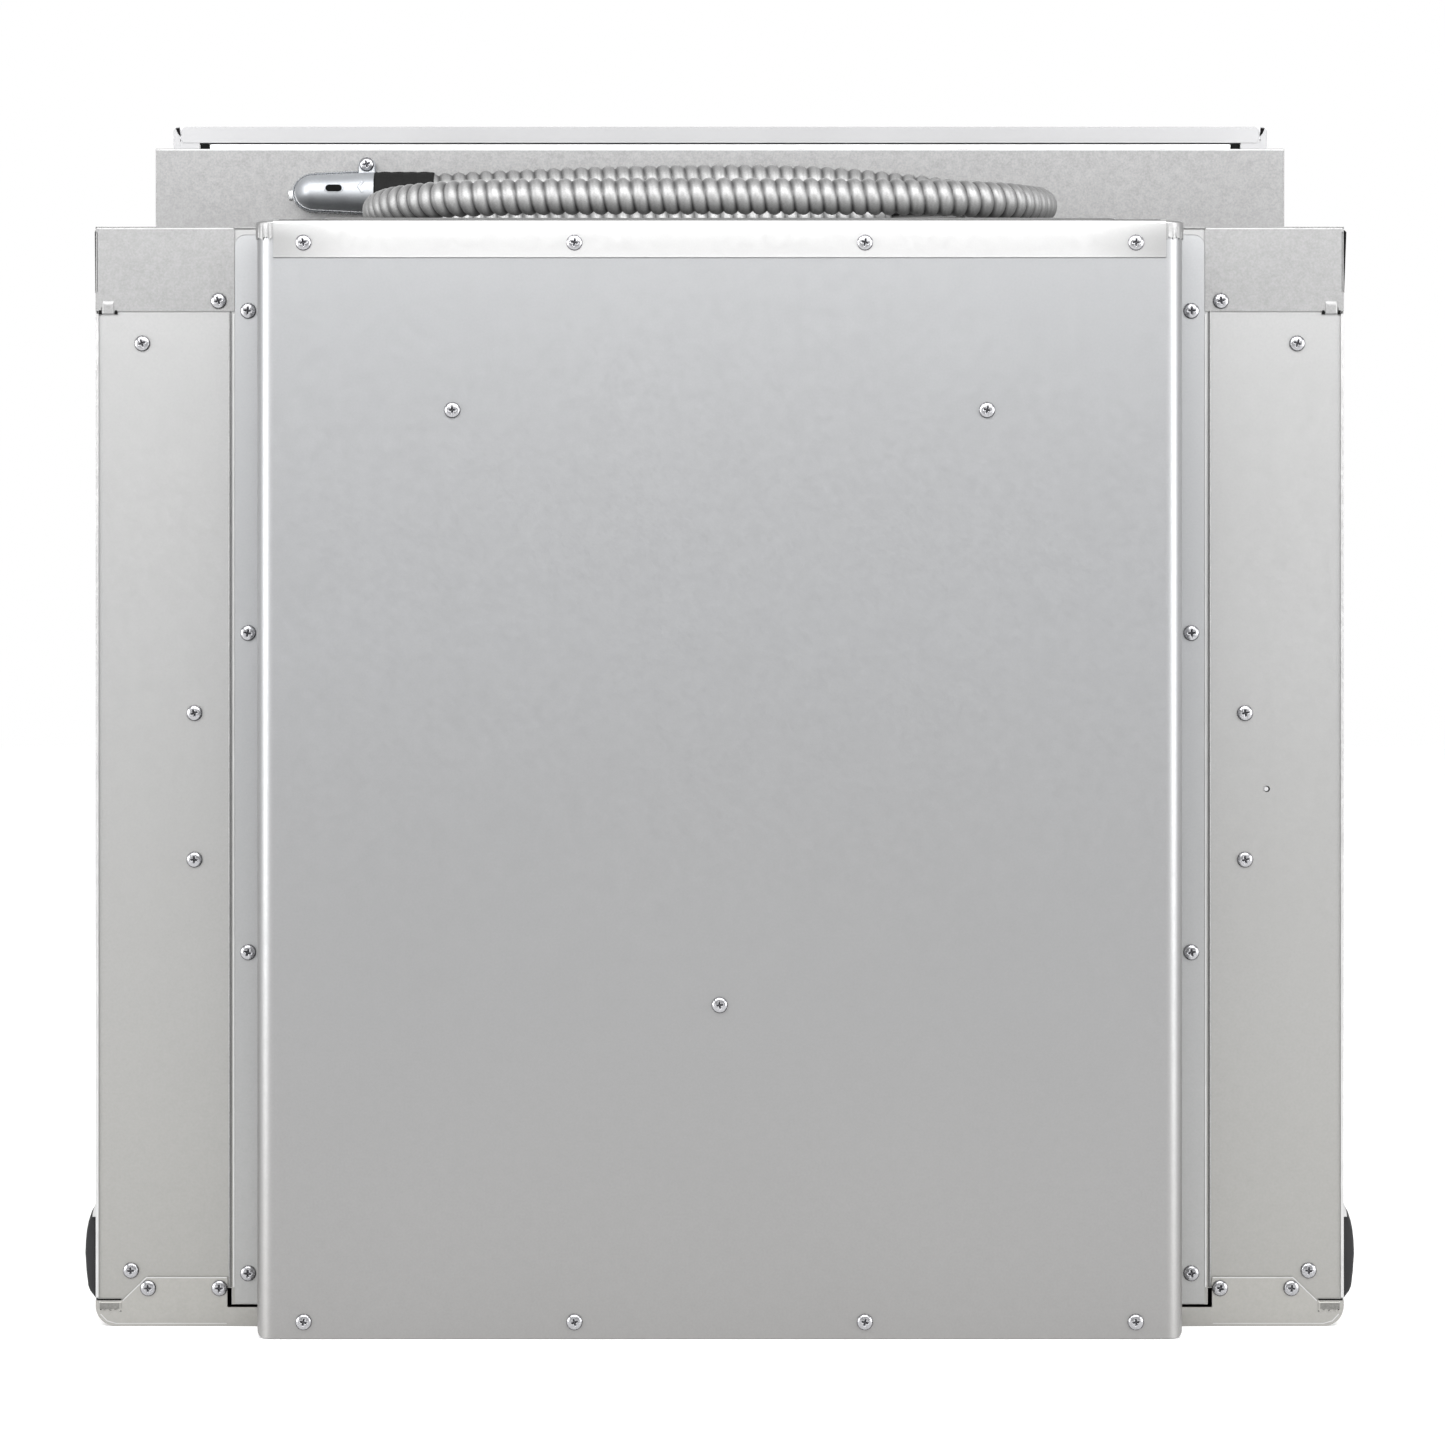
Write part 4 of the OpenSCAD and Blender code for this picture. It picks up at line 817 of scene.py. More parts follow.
def screw_head(x, y, z, turn):
    """A domed head with a cross recess.

    Height over the sheet falls off from the middle as one minus the square of the radius, held up to a short
    upright rim; the recess is the deepest of two narrow troughs at right angles, turned by a chosen angle.
    """
    s = sizes()
    r, h = s.screw_diameter / 2, s.screw_height
    trough_half, trough_reach, trough_depth = mm(0.62, 2.4, 1.2)
    rings, steps = 15, 40
    q = np.linspace(0, 1, rings)[:, None]
    t = around_circle(steps)[None]
    dome = h * (0.22 + 0.78 * np.sqrt(within(1 - q**2.2))) + 0 * t
    u, v = r * q * np.cos(t), r * q * np.sin(t)
    c, d = math.cos(turn), math.sin(turn)
    across, along = u * c + v * d, v * c - u * d
    trough = np.zeros_like(dome)
    for a, b in ((across, along), (along, across)):
        inside = within((trough_half - np.abs(a)) / (0.35 * MM)) * within((trough_reach - np.abs(b)) / (0.8 * MM))
        trough = np.maximum(trough, inside)
    height = dome - trough_depth * trough
    # painted shade: the shadow_line value is high in the recess, on one side of the rim as a painted shadow crescent,
    # and at 0.8 on the skirt ring all round
    rim = within((q - 0.86) / 0.1) * within(0.35 - 0.75 * np.sin(t) - 0.35 * np.cos(t))
    dark = within(trough * 0.9 + rim)
    points = np.stack([x + u, y + height, z + v], axis=-1).reshape(-1, 3)
    skirt = np.stack([x + r * np.cos(t), y + 0 * t, z + r * np.sin(t)], axis=-1).reshape(-1, 3)
    dark = np.concatenate([dark, np.full((1, steps), 0.8)]).ravel()
    return np.concatenate([points, skirt]), grid_faces(rings + 1, steps, close_columns=True)[:, ::-1], dark


class OVEN_OT_screws(Builder):
    """Domed sheet-metal screws with a cross recess"""

    bl_idname = "oven.screws"
    bl_label = "Screws"

    def build(self, context):
        turns = np.random.default_rng(7)
        (x0, _, z0), (x1, y1, z1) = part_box("connector_screw")
        ear = [((x0 + x1) / 2 / MM, y1 - sizes().screw_height, (z0 + z1) / 2 / MM)]
        for name, places in (("cover_screws", COVER_SCREWS), ("panel_screws", PANEL_SCREWS),
                             ("connector_screw", ear)):
            heads = [screw_head(x * MM, y, z * MM, turns.uniform(-0.35, 0.35)) for x, y, z in places]
            obj = piece(name + "_fine", [h[:2] for h in heads], "screw_zinc", [name])
            shadow = obj.data.attributes.new("shadow_line", "FLOAT", "POINT")
            shadow.data.foreach_set("value", np.concatenate([h[2] for h in heads]).astype(np.float32))
            repaired(obj.data, 1e-6)
            obj.data.shade_smooth()
            crease(obj, 60)


def cover_line(grow=0.0, start=1.0):
    """Half outline of the raised cover in X and Y, from the side flange round the corner to the middle.

    A straight side, a quarter circle and a straight back, all moved outwards by grow.
    """
    r = sizes().bead_radius + grow
    centre = (COVER_X + grow - r, FACE_Y + grow - r)
    side = [(COVER_X + grow, y) for y in (REAR_Y + start * MM, REAR_Y + 20 * MM, centre[1] - 0.5 * MM)]
    back = [(x, FACE_Y + grow) for x in (centre[0] - 0.5 * MM, centre[0] - 3 * MM)]
    return np.array(side + list(map(tuple, arc(centre, r, 0, 90, 11))) + back)


def mirrored(points, faces):
    """The same part on the other side, with its faces turned round."""
    points = np.asarray(points, float).reshape(-1, 3) * (-1, 1, 1)
    return points, [list(f)[::-1] for f in faces]


def both(part):
    return [part, mirrored(*part)]


class OVEN_OT_rear_cover(Builder):
    """Raised rear cover with round upright corners and a flange down each side"""

    bl_idname = "oven.rear_cover"
    bl_label = "Rear cover"

    def build(self, context):
        half = cover_line()
        line = np.concatenate([half, half[::-1] * (-1, 1)])
        # the lower corners are cut to a quarter circle, so the foot rises towards the sides
        cut = 4.5 * MM
        reach = np.clip(np.abs(line[:, 0]) - COVER_X + cut, 0, cut)
        shell = wall(line, 0.5 * MM + cut - np.sqrt(cut**2 - reach**2), DECK_Z - 1.4 * MM, -SHEET)
        x1, z0, z1, r = COVER_X + sizes().flange_width, 12.5 * MM, DECK_Z - 4.5 * MM, 6 * MM
        top = arc((x1 - r, z1 - r), r, 0, 90, 9)
        flange = np.concatenate([[(COVER_X - SHEET, z0), (x1, z0)], top, [(COVER_X - SHEET, z1)]])
        piece("rear_cover_sheet", [shell], "cover_steel", ["rear_cover"], outward=True, angle=30)
        piece("cover_flanges", both(slab(flange, REAR_Y, REAR_Y + SHEET, 0.45 * MM)), "flange_steel",
              outward=True, angle=30)


def crumple(u, seed):
    """Uneven waves along a folded edge: three sine waves of different length added together."""
    return (np.sin(u * 2.1 + seed) + 0.7 * np.sin(u * 4.7 + seed * 2.3) + 0.5 * np.sin(u * 9.1 + seed * 1.7)) / 2.2


def deck_rim(seed):
    """Rim of the deck folded down round one upright corner of the cover.

    Along the fold the section goes from the deck's top over a small round to a short skirt; where the outline
    turns the corner, the skirt's lower edge and face swing in and out in uneven waves.
    """
    line = cover_line(SHEET, 1.4)
    fine = np.linspace(0, len(line) - 1, 90)
    line = np.column_stack([np.interp(fine, np.arange(len(line)), line[:, k]) for k in (0, 1)])
    tangent = directions(line)
    inward = np.stack([-tangent[:, 1], tangent[:, 0]], axis=1)
    travelled = distance_along(line)
    corner = within(1 - np.abs(travelled - travelled[45] - 4 * MM) / (11 * MM))
    wave = crumple(travelled / MM * 0.55, seed) * np.sqrt(corner)
    r = 1.6 * MM
    fold = [(r - r * math.cos(a), DECK_Z - r + r * math.sin(a)) for a in np.radians(np.linspace(0, 90, 7))]
    section = np.array([*(mm((0.9, -9.6), (0, -10), (0, -8), (0, -5)) + (0, DECK_Z)), *fold, (8 * MM, DECK_Z)])
    depth = section[:, :1] + 0 * wave
    height = section[:, 1:] + 0 * wave
    skirt = within((DECK_Z - 1 * MM - height) / (9 * MM))
    depth = depth + skirt * (0.30 * MM - 0.55 * MM * wave)
    height = height + skirt**2 * 1.5 * MM * wave
    xy = line[None] + inward[None] * depth[..., None]
    points = np.concatenate([xy, height[..., None]], axis=-1)
    return points, grid_faces(len(section), len(fine))


def folded_strip(half, y_out, z_top, drop, radius, tilt=0.0):
    """A sheet's edge folded down: flat top, quarter round, flat face and a thin lower edge, carried along X.

    The face leans out by tilt from its top to its lower edge.
    """
    a = np.radians(np.linspace(90, 0, 8))
    back = y_out - radius - tilt
    outer = [(back - 14 * MM, z_top), (back - 0.4 * MM, z_top)]
    outer += [(back + radius * math.cos(t), z_top - radius + radius * math.sin(t)) for t in a]
    outer += [(back + radius + tilt * 0.05, z_top - radius - 0.4 * MM)]
    outer = np.array([*outer, *(mm((0, 0.5), (-0.12, 0.12), (-0.5, 0), (-1, 0)) + (y_out, z_top - drop))])
    head, tail = outer[:10], outer[10:]
    face = np.column_stack([np.linspace(head[-1, 0], tail[0, 0], 24), np.linspace(head[-1, 1], tail[0, 1], 24)])
    outer = np.concatenate([head, face[1:-1], tail])
    xs = np.concatenate([[-half], np.linspace(-half + 0.5 * MM, half - 0.5 * MM, 420), [half]])
    points = np.stack([np.column_stack([np.full(len(outer), x), outer]) for x in xs])
    # every screw draws the sheet in a little: a round dent that dies away with the square of the distance
    dent = np.zeros(points.shape[:2])
    for x, _, z in COVER_SCREWS[:4]:
        away = ((points[..., 0] - x * MM) / (9 * MM)) ** 2 + ((points[..., 2] - z * MM) / (6.5 * MM)) ** 2
        dent += 0.22 * MM * np.exp(-away)
    points[..., 1] -= dent * (points[..., 1] > y_out - 1.2 * MM)
    return points, grid_faces(len(xs), len(outer))


def pan(x, y0, y1, z0, z1, corner, fillet):
    """A shallow raised panel: a round-cornered outline that rises and then rounds over into a flat top."""
    def ring(inset, z):
        r = max(corner - inset, 0.5 * MM)
        pts = [arc((sx * (x - inset - r), cy), r, a0, a0 + 90, 7) for sx, cy, a0 in (
            (1, y1 - inset - r, 0), (-1, y1 - inset - r, 90), (-1, y0 + inset + r, 180), (1, y0 + inset + r, 270))]
        line = np.concatenate(pts)
        return np.column_stack([line, np.full(len(line), z)])

    turn = np.radians(np.linspace(0, 90, 7))
    rise = [ring(0, z0), ring(0, z0 + 0.2 * MM), ring(0.8 * MM, z1 - fillet)]
    crown = [ring(0.8 * MM + fillet * (1 - math.cos(t)), z1 - fillet + fillet * math.sin(t)) for t in turn]
    return skinned(rise + crown, first=False)


def flat_sheet(outline, z0, z1):
    """A closed outline in X and Y made a plate from z0 to z1."""
    return skinned([np.column_stack([outline, np.full(len(outline), z)]) for z in (z0, z1)])


class OVEN_OT_top_deck(Builder):
    """Top deck with its raised duct, folded rim, crumpled corners, corner plates and the strip over the cover"""

    bl_idname = "oven.top_deck"
    bl_label = "Top deck"

    def build(self, context):
        y0, y1, half = low("top_deck")[1], REAR_Y + SHEET, BODY_X
        plate = flat_sheet([(-half, y0), (half, y0), (half, y1), (-half, y1)], DECK_Z - SHEET, DECK_Z)
        line = cover_line(SHEET - 1.5 * MM, 0.5)
        line = np.concatenate([line, line[::-1] * (-1, 1)])
        tongue = flat_sheet(line, DECK_Z - SHEET, DECK_Z - 0.02 * MM)
        duct = pan(235 * MM, REAR_Y - 280 * MM, REAR_Y - 66 * MM, DECK_Z, high("top_deck")[2], 6 * MM, 2.5 * MM)
        x0, x1 = COVER_X + sizes().flange_width + 0.3 * MM, BODY_X
        z0, z1 = PLATE_FOOT_Z, DECK_Z - 0.5 * MM
        # the corner plate's foot has a notch with a tab in it, and its outer edge is cut back between its ends
        notch = mm((-10, 0), (-10, 2), (-8.6, 2), (-8.6, -0.6), (-4.5, -0.6), (-4.5, 2), (-3.1, 2), (-3.1, 0),
                   (0, 0), (0, 11), (-1.2, 11)) + (x1, z0)
        ends = mm((-1.2, -2.5), (0, -2.5), (0, 0)) + (x1, z1)
        corner = [(x0, z0), *notch, *ends, (x0, z1)]
        parts = [plate, tongue, duct] + both(slab(corner, REAR_Y + 0.02 * MM, REAR_Y + SHEET))
        rims = [deck_rim(1.0), mirrored(*deck_rim(4.2))]
        piece("top_deck_sheet", parts + rims, "galvanised_steel", ["top_deck"], angle=40)
        strip = folded_strip(252 * MM, STRIP_Y, DECK_Z, 20.5 * MM, 1.5 * MM, 0.25 * MM)
        # the strip's lightened finish is a painted highlight, with painted shade towards its ends
        obj = piece("deck_strip", [strip], "strip_steel")
        solid = obj.modifiers.new("thickness", "SOLIDIFY")
        solid.thickness, solid.offset = 0.8 * MM, 0
        crease(obj, 40)


def block(lowest, highest):
    """A plain block between two corners, used only as part of a larger piece."""
    (x0, y0, z0), (x1, y1, z1) = lowest, highest
    points = [(x, y, z) for x in (x0, x1) for y in (y0, y1) for z in (z0, z1)]
    faces = [[0, 1, 3, 2], [4, 6, 7, 5], [0, 4, 5, 1], [2, 3, 7, 6], [0, 2, 6, 4], [1, 5, 7, 3]]
    return points, faces


class OVEN_OT_fascia(Builder):
    """Fascia whose rear lip has round ends, with the return and its two clips under it. The lip's enamel is darkened
    and the return's lightened to near white, as painted shade and painted light; the clips are near-black blocks in the
    painted shade finish
    """

    bl_idname = "oven.fascia"
    bl_label = "Fascia"

    def build(self, context):
        eased("control_fascia", 0.6 * MM, 3)
        x1, _, z1 = high("control_fascia")
        lip0, y = z1 - 11 * MM, FRONT_Y
        r = 3.5 * MM
        end = arc((x1 - 5.5 * MM - r, z1 - r), r, 0, 90, 8)
        half = np.concatenate([[(x1 - 5.5 * MM, lip0 + 1.5 * MM)], end])
        outline = np.concatenate([half, half[::-1] * (-1, 1), [(-x1 + 7 * MM, lip0)], [(x1 - 7 * MM, lip0)]])
        lip = slab(outline[::-1], y, y + 0.9 * MM, 0.35 * MM)
        foot = mm((-4.6, -6), (0, -6)) + (x1, lip0)
        ears = both(slab(np.concatenate([foot, arc((x1 - 3 * MM, z1 - 3 * MM), 3 * MM, 0, 90, 6),
                                         [(x1 - 4.6 * MM, z1)]]), y - 0.4 * MM, y + 0.3 * MM, 0.3 * MM))
        inner, outer, under, over = 359.8 * MM, x1 - 1 * MM, lip0 - 5.6 * MM, lip0 + 1 * MM
        ears += both(slab([(inner, under), (outer, under), (outer, over), (inner, over)],
                          y - 0.5 * MM, y + 0.2 * MM, 0.2 * MM))
        piece("fascia_lip", [lip, *ears], "lip_enamel", outward=True, angle=35)
        back = block((-x1 + 4.4 * MM, y - 3.2 * MM, DECK_Z + 72 * MM), (x1 - 4.4 * MM, y - 2.2 * MM, lip0 - 0.9 * MM))
        piece("fascia_return", [back], "return_enamel", smooth=False)
        # painted shade: the clips and a wedge beside each ear are near-black, laid where the gaps there look dark
        clips = both(block((353 * MM, y - 2.2 * MM, lip0 - 4.6 * MM), (359.5 * MM, y - 1.0 * MM, lip0 - 0.8 * MM)))
        clips += both(slab(mm((-4.7, -6), (-3.3, -4.5), (-1.9, -1.2), (-4, -0.9)) + (x1, z1),
                           y - 0.2 * MM, y + 0.4 * MM))
        bevel = piece("fascia_clips", clips, "painted_shade").modifiers.new("edges", "BEVEL")
        bevel.width, bevel.segments = 0.4 * MM, 2


HOOD_RADIUS = 12.5 * MM
HOOD_CROWN = 0.96
HOOD_ROUNDNESS = 0.85


def hood_skin(x0, x1, foot_y, centre, slim=0.80, steps=64, around=41):
    """Half-round hood standing on a wall, round-nosed at x1 and slimmer there.

    Along X the half height is a quarter ellipse at the nose and then widens evenly; across, the section is an
    upright-sided arch: cosine up to the crown, held flat at the foot.
    """
    s = np.linspace(0, 1, steps) ** 1.6
    x = x1 - s * (x1 - x0)
    nose = np.sqrt(within(1 - (1 - within((x1 - x) / (0.95 * HOOD_RADIUS))) ** 2))
    half = HOOD_RADIUS * (slim + (1 - slim) * s) * nose
    rise = (centre[1] + HOOD_RADIUS * HOOD_CROWN - foot_y) * nose**0.8
    a = np.linspace(-np.pi / 2, np.pi / 2, around)[None]
    across = np.sign(np.sin(a)) * np.abs(np.sin(a)) ** HOOD_ROUNDNESS
    up = np.abs(np.cos(a)) ** 0.62
    points = np.stack([x[:, None] + 0 * a, foot_y + rise[:, None] * up, centre[2] + half[:, None] * across], axis=-1)
    return points, grid_faces(steps, around), x, half


class OVEN_OT_connector(Builder):
    """Zinc hood that the conduit leaves, with its slot, rolled rim, side tab and screw ear"""

    bl_idname = "oven.connector"
    bl_label = "Conduit connector"

    def build(self, context):
        x0, x1 = low("conduit_connector")[0], high("conduit_connector")[0]
        x1 -= 4 * MM
        centre = conduit_route()[0]
        foot = CONTROL_Y + 0.1 * MM
        points, faces, rim_x, half = hood_skin(x0, x1, foot, centre)
        hood = (points, faces[:, ::-1])
        line = np.concatenate([np.column_stack([rim_x, centre[2] + half])[::-1],
                               np.column_stack([rim_x, centre[2] - half])[1:]])
        forward = directions(line)
        outward = np.stack([forward[:, 1], -forward[:, 0]], axis=1)
        section = mm((-0.4, 0.3), (0.5, 0.3), (0.9, 1.3), (1.5, 1.9), (2.1, 1.5), (2.3, 0.0))
        rim = np.stack([np.column_stack([line[:, 0] - outward[:, 0] * out, np.full(len(line), foot + up),
                                         line[:, 1] - outward[:, 1] * out]) for out, up in section])
        slot_x, slot_z = x0 + 25 * MM, centre[2] + 0.9 * MM
        slot = np.concatenate([arc((slot_x + 3 * MM, slot_z), 2.1 * MM, -90, 90, 9),
                               arc((slot_x - 3 * MM, slot_z), 2.1 * MM, 90, 270, 9)])
        crown = centre[1] + HOOD_RADIUS * HOOD_CROWN
        rise = crown - foot

        def skin(z):
            """Height of the hood's skin over its wall at a height z: the arch of hood_skin read backwards."""
            sine = within(np.abs(z - centre[2]) / (11.6 * MM)) ** (1 / HOOD_ROUNDNESS)
            return foot + rise * (1 - sine**2) ** 0.31

        ring = []
        for grow, y in ((1.2, -0.3), (0.8, 0.35), (0.3, 0.35), (0.0, 0.05)):
            out = slot - (slot_x, slot_z)
            out /= np.linalg.norm(out, axis=1)[:, None]
            q = slot + out * grow * MM
            ring.append(np.column_stack([q[:, 0], skin(q[:, 1]) + y * MM, q[:, 1]]))
        rolled = (np.concatenate(ring), grid_faces(4, len(slot), close_columns=True))
        ear_x, ear_z = x0 + 5.5 * MM, high("conduit_connector")[2]
        ear_foot = mm((0.2, 9), (10.8, 9)) + (x0, centre[2])
        ear = slab(np.concatenate([ear_foot, arc((ear_x, ear_z - 5.3 * MM), 5.3 * MM, 0, 180, 12)]),
                   CONTROL_Y, CONTROL_Y + 8 * MM, 0.6 * MM)
        tab = slab(mm((1.5, -4.5), (4, -4.5), (4, 1.5), (1.5, 1.5)) + (x1, centre[2]),
                   CONTROL_Y, CONTROL_Y + 2 * MM, 0.4 * MM)
        mark = mm((7, 5), (10.5, 1), (7.4, -3), (6.4, -2.4), (8.8, 1), (6.2, 4.2)) + (x0, slot_z)
        mark = slab(mark, crown - 2.5 * MM, crown + 0.35 * MM, 0.3 * MM)
        piece("connector_hood", [hood, rolled, ear, mark], "connector_zinc", ["conduit_connector"], outward=True,
              angle=40)
        # the rim and tab are in the lightened rim_zinc: a painted highlight
        piece("connector_rim", [(rim, grid_faces(len(section), len(line))), tab], "rim_zinc",
              outward=True, angle=50)
        # painted shade: a flat near-black face in the slot
        floor = np.column_stack([slot[:, 0], skin(slot[:, 1]) + 0.14 * MM, slot[:, 1]])
        piece("connector_slot", [(floor, [list(range(len(slot)))[::-1]])], "painted_shade")


def thin(y0, y1, bevel, *corners):
    """A thin plate on both sides of the back, from the millimetre X and Z of its corners."""
    return both(slab(mm(*corners), y0, y1, bevel))


class OVEN_OT_corner_details(Builder):
    """Hooks, seams and crumpled folds at the corners of the back"""

    bl_idname = "oven.corner_details"
    bl_label = "Corner details"

    def build(self, context):
        face = REAR_Y + SHEET
        z0 = PLATE_FOOT_Z
        # a small tongue pushed out of the corner plate: flat, with its two sides and upper end sloping back in
        u = np.linspace(-1, 1, 17)[:, None]
        v = np.linspace(0, 1, 13)[None]
        swell = within((1 - np.abs(u)) / 0.25) * within((1 - v) / 0.3)
        tongue = np.stack([BODY_X - 7.2 * MM + 3.6 * MM * u + 0 * v, face - 0.1 * MM + 0.8 * MM * np.sqrt(swell),
                           z0 - 1.4 * MM + 7.5 * MM * v + 0 * u], axis=-1)
        hooks = both((tongue, grid_faces(17, 13)))
        seam = mm((281.3, 0.0), (281.5, 0.45), (281.9, 0.6), (282.3, 0.45), (282.5, 0.0)) + (0, REAR_Y)
        rib = np.stack([np.column_stack([seam, np.full(len(seam), z)]) for z in (22.5 * MM, z0)])
        ribs = both((rib, grid_faces(2, len(seam))))
        piece("wing_seams", hooks + ribs, "galvanised_steel", outward=True, angle=50)
        # the base's corner: a pressed pad with a wavy crease below it, eased down to the sheet at its four edges
        left, right, lower, upper = 343.6, 356.5, 5.0, 14.6
        x = np.linspace(left, right, 60)[:, None]
        z = np.linspace(lower, upper, 40)[None]
        wave = 9.8 + 0.8 * crumple(x * 0.55, 2.0) + 0.5 * np.sin(x * 2.3)
        pad = 0.8 / (1 + np.exp(-(z - wave) * 3.2))
        pad = pad + 0.4 * np.exp(-((z - wave + 0.8) / 0.5) ** 2) * (1 + crumple(x, 1.0))
        edge = within(x - left) * within(right - x) * within((z - lower) / 1.2) * within((upper - z) / 0.8)
        pads = np.stack([x * MM + 0 * z, face - 0.05 * MM + (pad + 0.1) * edge * MM, z * MM + 0 * x], axis=-1)
        piece("base_corner_folds", both((pads, grid_faces(60, 40))), "base_steel", outward=True)
        # painted shade: near-black sheets where the light does not reach, in the corner plates' notches, over the
        # base's corner pads and in their creases, as a painted shadow line along the deck's strip, beside the cover's
        # flanges and beside the corner plates
        dark = []
        for x in (BODY_X / MM - 11.8, BODY_X / MM - 2.6):
            dark += thin(face - 0.5 * MM, face + 0.1 * MM, 0,
                         (x - 1.0, 581.6), (x + 1.0, 581.6), (x + 0.6, 584.0), (x - 0.6, 584.0))
        dark += thin(face - 0.5 * MM, face + 0.05 * MM, 0, (344.4, 14.9), (357.8, 14.9), (357.8, 15.7), (343.8, 15.7))
        for x, z in ((344.3, 8.9), (347.2, 9.8), (350.1, 9.3), (353.0, 10.2), (355.6, 9.7)):
            dark += thin(face, face + 0.62 * MM, 0,
                         (x - 0.5, z - 0.3), (x + 0.5, z - 0.2), (x + 0.4, z + 0.3), (x - 0.4, z + 0.2))
        dark.append(slab(mm((-249, 631.7), (249, 631.7), (249, 632.5), (-249, 632.5)),
                         STRIP_Y - 2.2 * MM, STRIP_Y - 1.2 * MM))
        dark += thin(REAR_Y - 0.2 * MM, REAR_Y + 0.35 * MM, 0,
                     (280.75, 22.5), (281.0, 22.5), (281.0, 583), (280.75, 583))
        for side, wide in ((1, 0.5), (-1, 1.5)):
            sliver = mm((358.9, 594), (359.1, 594), (358.9 + wide, 629), (358.9, 630.5))
            sliver = slab(sliver, REAR_Y - 6 * MM, REAR_Y - 0.5 * MM)
            dark.append(sliver if side > 0 else mirrored(*sliver))
        # painted shade: a flat plate in the darkened fold steel laid over the crumpled hollow below the base's corner
        # pad
        xs = np.linspace(345.0, 356.2, 40)
        fold = np.column_stack([xs, 9.9 + 0.6 * crumple(xs * 0.9, 2.0)])
        fold = thin(face, face + 0.93 * MM, 0, *fold, (356.2, 13.5), (345.0, 13.5))
        piece("base_corner_hollow_shade", fold, "fold_steel", smooth=False)
        clips = thin(REAR_Y - 3.9 * MM, REAR_Y - 1.5 * MM, 0.3 * MM,
                     (358.9, 62.5), (360.9, 62.5), (360.7, 65.5), (358.9, 71))
        piece("handle_clips", clips, "edge_steel", angle=40)
        piece("corner_shade", dark, "painted_shade", smooth=False)
        # painted highlights: thin strips of brighter steel where cut edges catch the light, along the base's flange,
        # beside the cover's flanges, over the corner plates, up both sides of the back and along the control box
        parts = []
        for line in (
            ((283.2, 28.3), (329.6, 28.3), (343.4, 14.9), (343.0, 14.6), (329.3, 27.8), (283.2, 27.8)),
            ((344.0, 14.2), (356.6, 14.2), (356.6, 13.5), (344.0, 13.5)),
            ((283.4, 1.9), (347, 1.9), (352, 3.4), (355.6, 7.2), (356, 6.9), (352.2, 2.9), (347, 1.5), (283.4, 1.5)),
            ((278.9, 22.5), (279.7, 22.5), (279.7, 582), (278.9, 582)),
            ((279.5, 630.6), (358, 630.6), (358, 631.3), (279.5, 631.3)),
            ((357.0, 16.5), (358.65, 16.5), (358.65, 582), (357.0, 582)),
        ):
            parts += thin(face - 0.3 * MM, face + 0.12 * MM, 0.08 * MM, *line)
        reach = high("control_box")[0] / MM - 0.3
        parts += thin(CONTROL_Y - 0.5 * MM, CONTROL_Y + 0.1 * MM, 0,
                      (0, 702.0), (reach, 702.0), (reach, 702.6), (0, 702.6))
        piece("edge_highlights", parts, "edge_steel", smooth=False)
        plug = arc(mm(44.65 - 358.75, 308.8), 1.35 * MM, 0, 360, 20)[:-1]
        piece("wing_plug", [slab(plug, REAR_Y - 1.5 * MM, REAR_Y + 0.55 * MM, 0.4 * MM)], "lip_enamel",
              angle=40)


class OVEN_OT_casing(Builder):
    """Casing sheets and trims whose cut edges are eased"""

    bl_idname = "oven.casing"
    bl_label = "Casing"

    def build(self, context):
        for node, width in (
            ("side_panel_left", 0.35), ("side_panel_right", 0.35), ("base_pan", 0.35),
            ("front_frame", 0.3), ("side_handles", 1.2),
            ("door_skin", 0.7), ("door_liner", 0.4), ("display_glass", 0.4), ("vent_trim", 0.3),
            ("bottom_trim", 0.3), ("blower_housing", 0.3), ("hinge_arms", 0.3),
            ("hinge_receivers", 0.3), ("terminal_block", 0.5), ("cavity_liner", 0.3), ("fan_baffle", 0.4),
        ):
            eased(node, width * MM, 2 if width < 0.6 else 3)
        eased("back_panel", 0.3 * MM, finish="wing_steel")
        # the control box's darkened copy of the wing steel is painted shade
        eased("control_box", 0.5 * MM, finish="control_steel")


class OVEN_OT_sleeve(Builder):
    """Black shrunk sleeve over the conduit's first turns"""

    bl_idname = "oven.sleeve"
    bl_label = "Conduit sleeve"

    def build(self, context):
        s = sizes()
        x0, x1 = low("conduit_sleeve")[0], high("conduit_sleeve")[0]
        centre = conduit_route()[0]
        steps, around = 120, 40
        x = np.linspace(x0, x1, steps)[:, None]
        t = around_circle(around)[None]
        # the film sinks a little between two ridges, wrinkles round the tube and closes in at both ends
        sunk = 0.45 * MM * (1 - np.abs(np.sin(np.pi * ((x1 - x) / s.conduit_pitch - t / (2 * np.pi)))))
        wrinkle = 0.22 * MM * np.sin(x / MM * 1.9 + 2.2 * np.sin(t * 2)) * np.sin(t * 3 + x / MM * 0.3)
        ends = 0.5 * MM * (within((x0 + 1 * MM - x) / MM) + within((x - x1 + 1 * MM) / MM))
        radius = 12.1 * MM - sunk + np.abs(wrinkle) - ends
        bore = np.full((2, around), 11.25 * MM)
        radius, x = np.concatenate([radius, bore]), np.concatenate([x, x[[-1, 0]]])
        points = np.stack([x + 0 * t, centre[1] + radius * np.cos(t), centre[2] + radius * np.sin(t)], axis=-1)
        piece("sleeve_film", [(points, grid_faces(steps + 2, around, True, True))], "sleeve_black",
              ["conduit_sleeve"], outward=True)


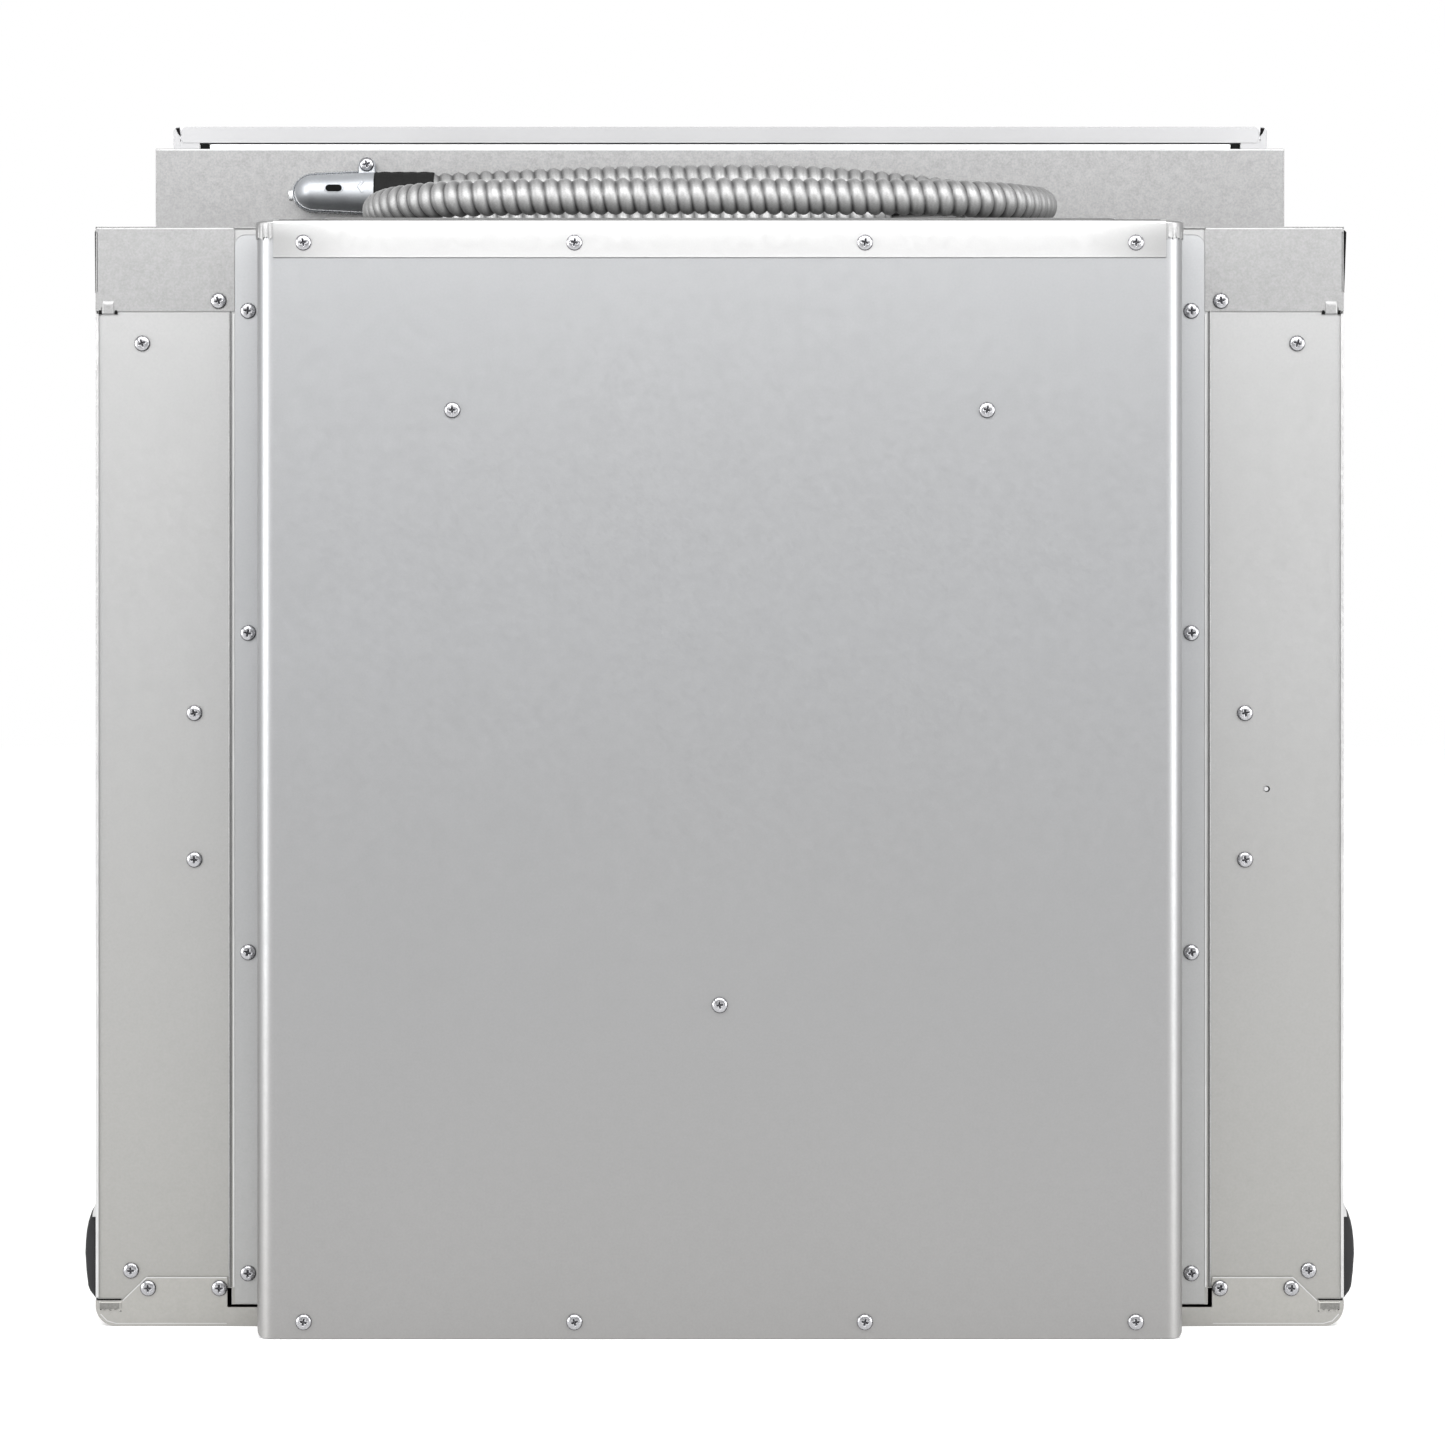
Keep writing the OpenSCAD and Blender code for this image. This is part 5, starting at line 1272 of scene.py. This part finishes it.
class OVEN_OT_stage(Builder):
    """Pale floor, white surroundings and soft lights"""

    bl_idname = "oven.stage"
    bl_label = "Stage"

    def build(self, context):
        scene = context.scene
        scene.view_settings.view_transform = "Standard"
        world = bpy.data.worlds.new("studio")
        scene.world = world
        world.use_nodes = True
        world.node_tree.nodes["Background"].inputs["Color"].default_value = (1, 1, 1, 1)
        world.node_tree.nodes["Background"].inputs["Strength"].default_value = 1.0
        floor = Shader("studio_floor")
        floor.set(Base_Color=(0.85, 0.85, 0.85), Roughness=0.9, Emission_Color=(1.0, 1.0, 1.0), Emission_Strength=0.15)
        half = 9.0
        ground = bpy.data.meshes.new("floor")
        ground.from_pydata([(-half, -half, 0), (half, -half, 0), (half, half, 0), (-half, half, 0)], [], [[0, 1, 2, 3]])
        ground.materials.append(floor.material)
        added("floor", ground, None)
        for name, place, aim, size, power in (
            ("rear_light", (0, 1.14, 1.2), (0, 0.34, 0.45), (1.9, 0.6), 33),
            ("left_light", (2.3, 1.55, 0.60), (0, 0.30, 0.40), (1.3, 1.5), 60),
            ("right_light", (-2.3, 1.55, 0.60), (0, 0.30, 0.40), (1.3, 1.5), 60),
            ("front_light", (0, -1.3, 1.4), (0, -0.33, 0.45), (1.9, 0.7), 7),
        ):
            data = bpy.data.lights.new(name, "AREA")
            data.shape, (data.size, data.size_y), data.energy = "RECTANGLE", size, power
            lamp = bpy.data.objects.new(name, data)
            lamp.location = place
            ray = np.subtract(aim, place)
            lamp.rotation_euler = mathutils.Vector(ray).to_track_quat("-Z", "Y").to_euler()
            scene.collection.objects.link(lamp)


class OVEN_PT_panel(bpy.types.Panel):
    """Lists the oven's sizes, colours and pieces"""

    bl_label = "Built-in wall oven"
    bl_idname = "OVEN_PT_panel"
    bl_space_type = "VIEW_3D"
    bl_region_type = "UI"
    bl_category = "Oven"

    def draw(self, context):
        for group in (context.scene.oven_sizes, context.scene.oven_colours):
            for key in group.bl_rna.properties.keys():
                if key not in ("rna_type", "name"):
                    self.layout.prop(group, key)
        for step in STEPS:
            self.layout.operator(step.bl_idname)


STEPS = (
    OVEN_OT_finishes,
    OVEN_OT_camera,
    OVEN_OT_sleeve,
    OVEN_OT_conduit,
    OVEN_OT_rear_cover,
    OVEN_OT_top_deck,
    OVEN_OT_fascia,
    OVEN_OT_connector,
    OVEN_OT_corner_details,
    OVEN_OT_casing,
    OVEN_OT_screws,
    OVEN_OT_stage,
)
CLASSES = (OvenSizes, OvenColours, *STEPS, OVEN_PT_panel)


def register():
    for cls in CLASSES:
        bpy.utils.register_class(cls)
    bpy.types.Scene.oven_sizes = bpy.props.PointerProperty(type=OvenSizes)
    bpy.types.Scene.oven_colours = bpy.props.PointerProperty(type=OvenColours)


def unregister():
    del bpy.types.Scene.oven_colours
    del bpy.types.Scene.oven_sizes
    for cls in reversed(CLASSES):
        bpy.utils.unregister_class(cls)


def main():
    register()
    for step in STEPS:
        group, name = step.bl_idname.split(".")
        getattr(getattr(bpy.ops, group), name)()


if __name__ == "__main__":
    main()
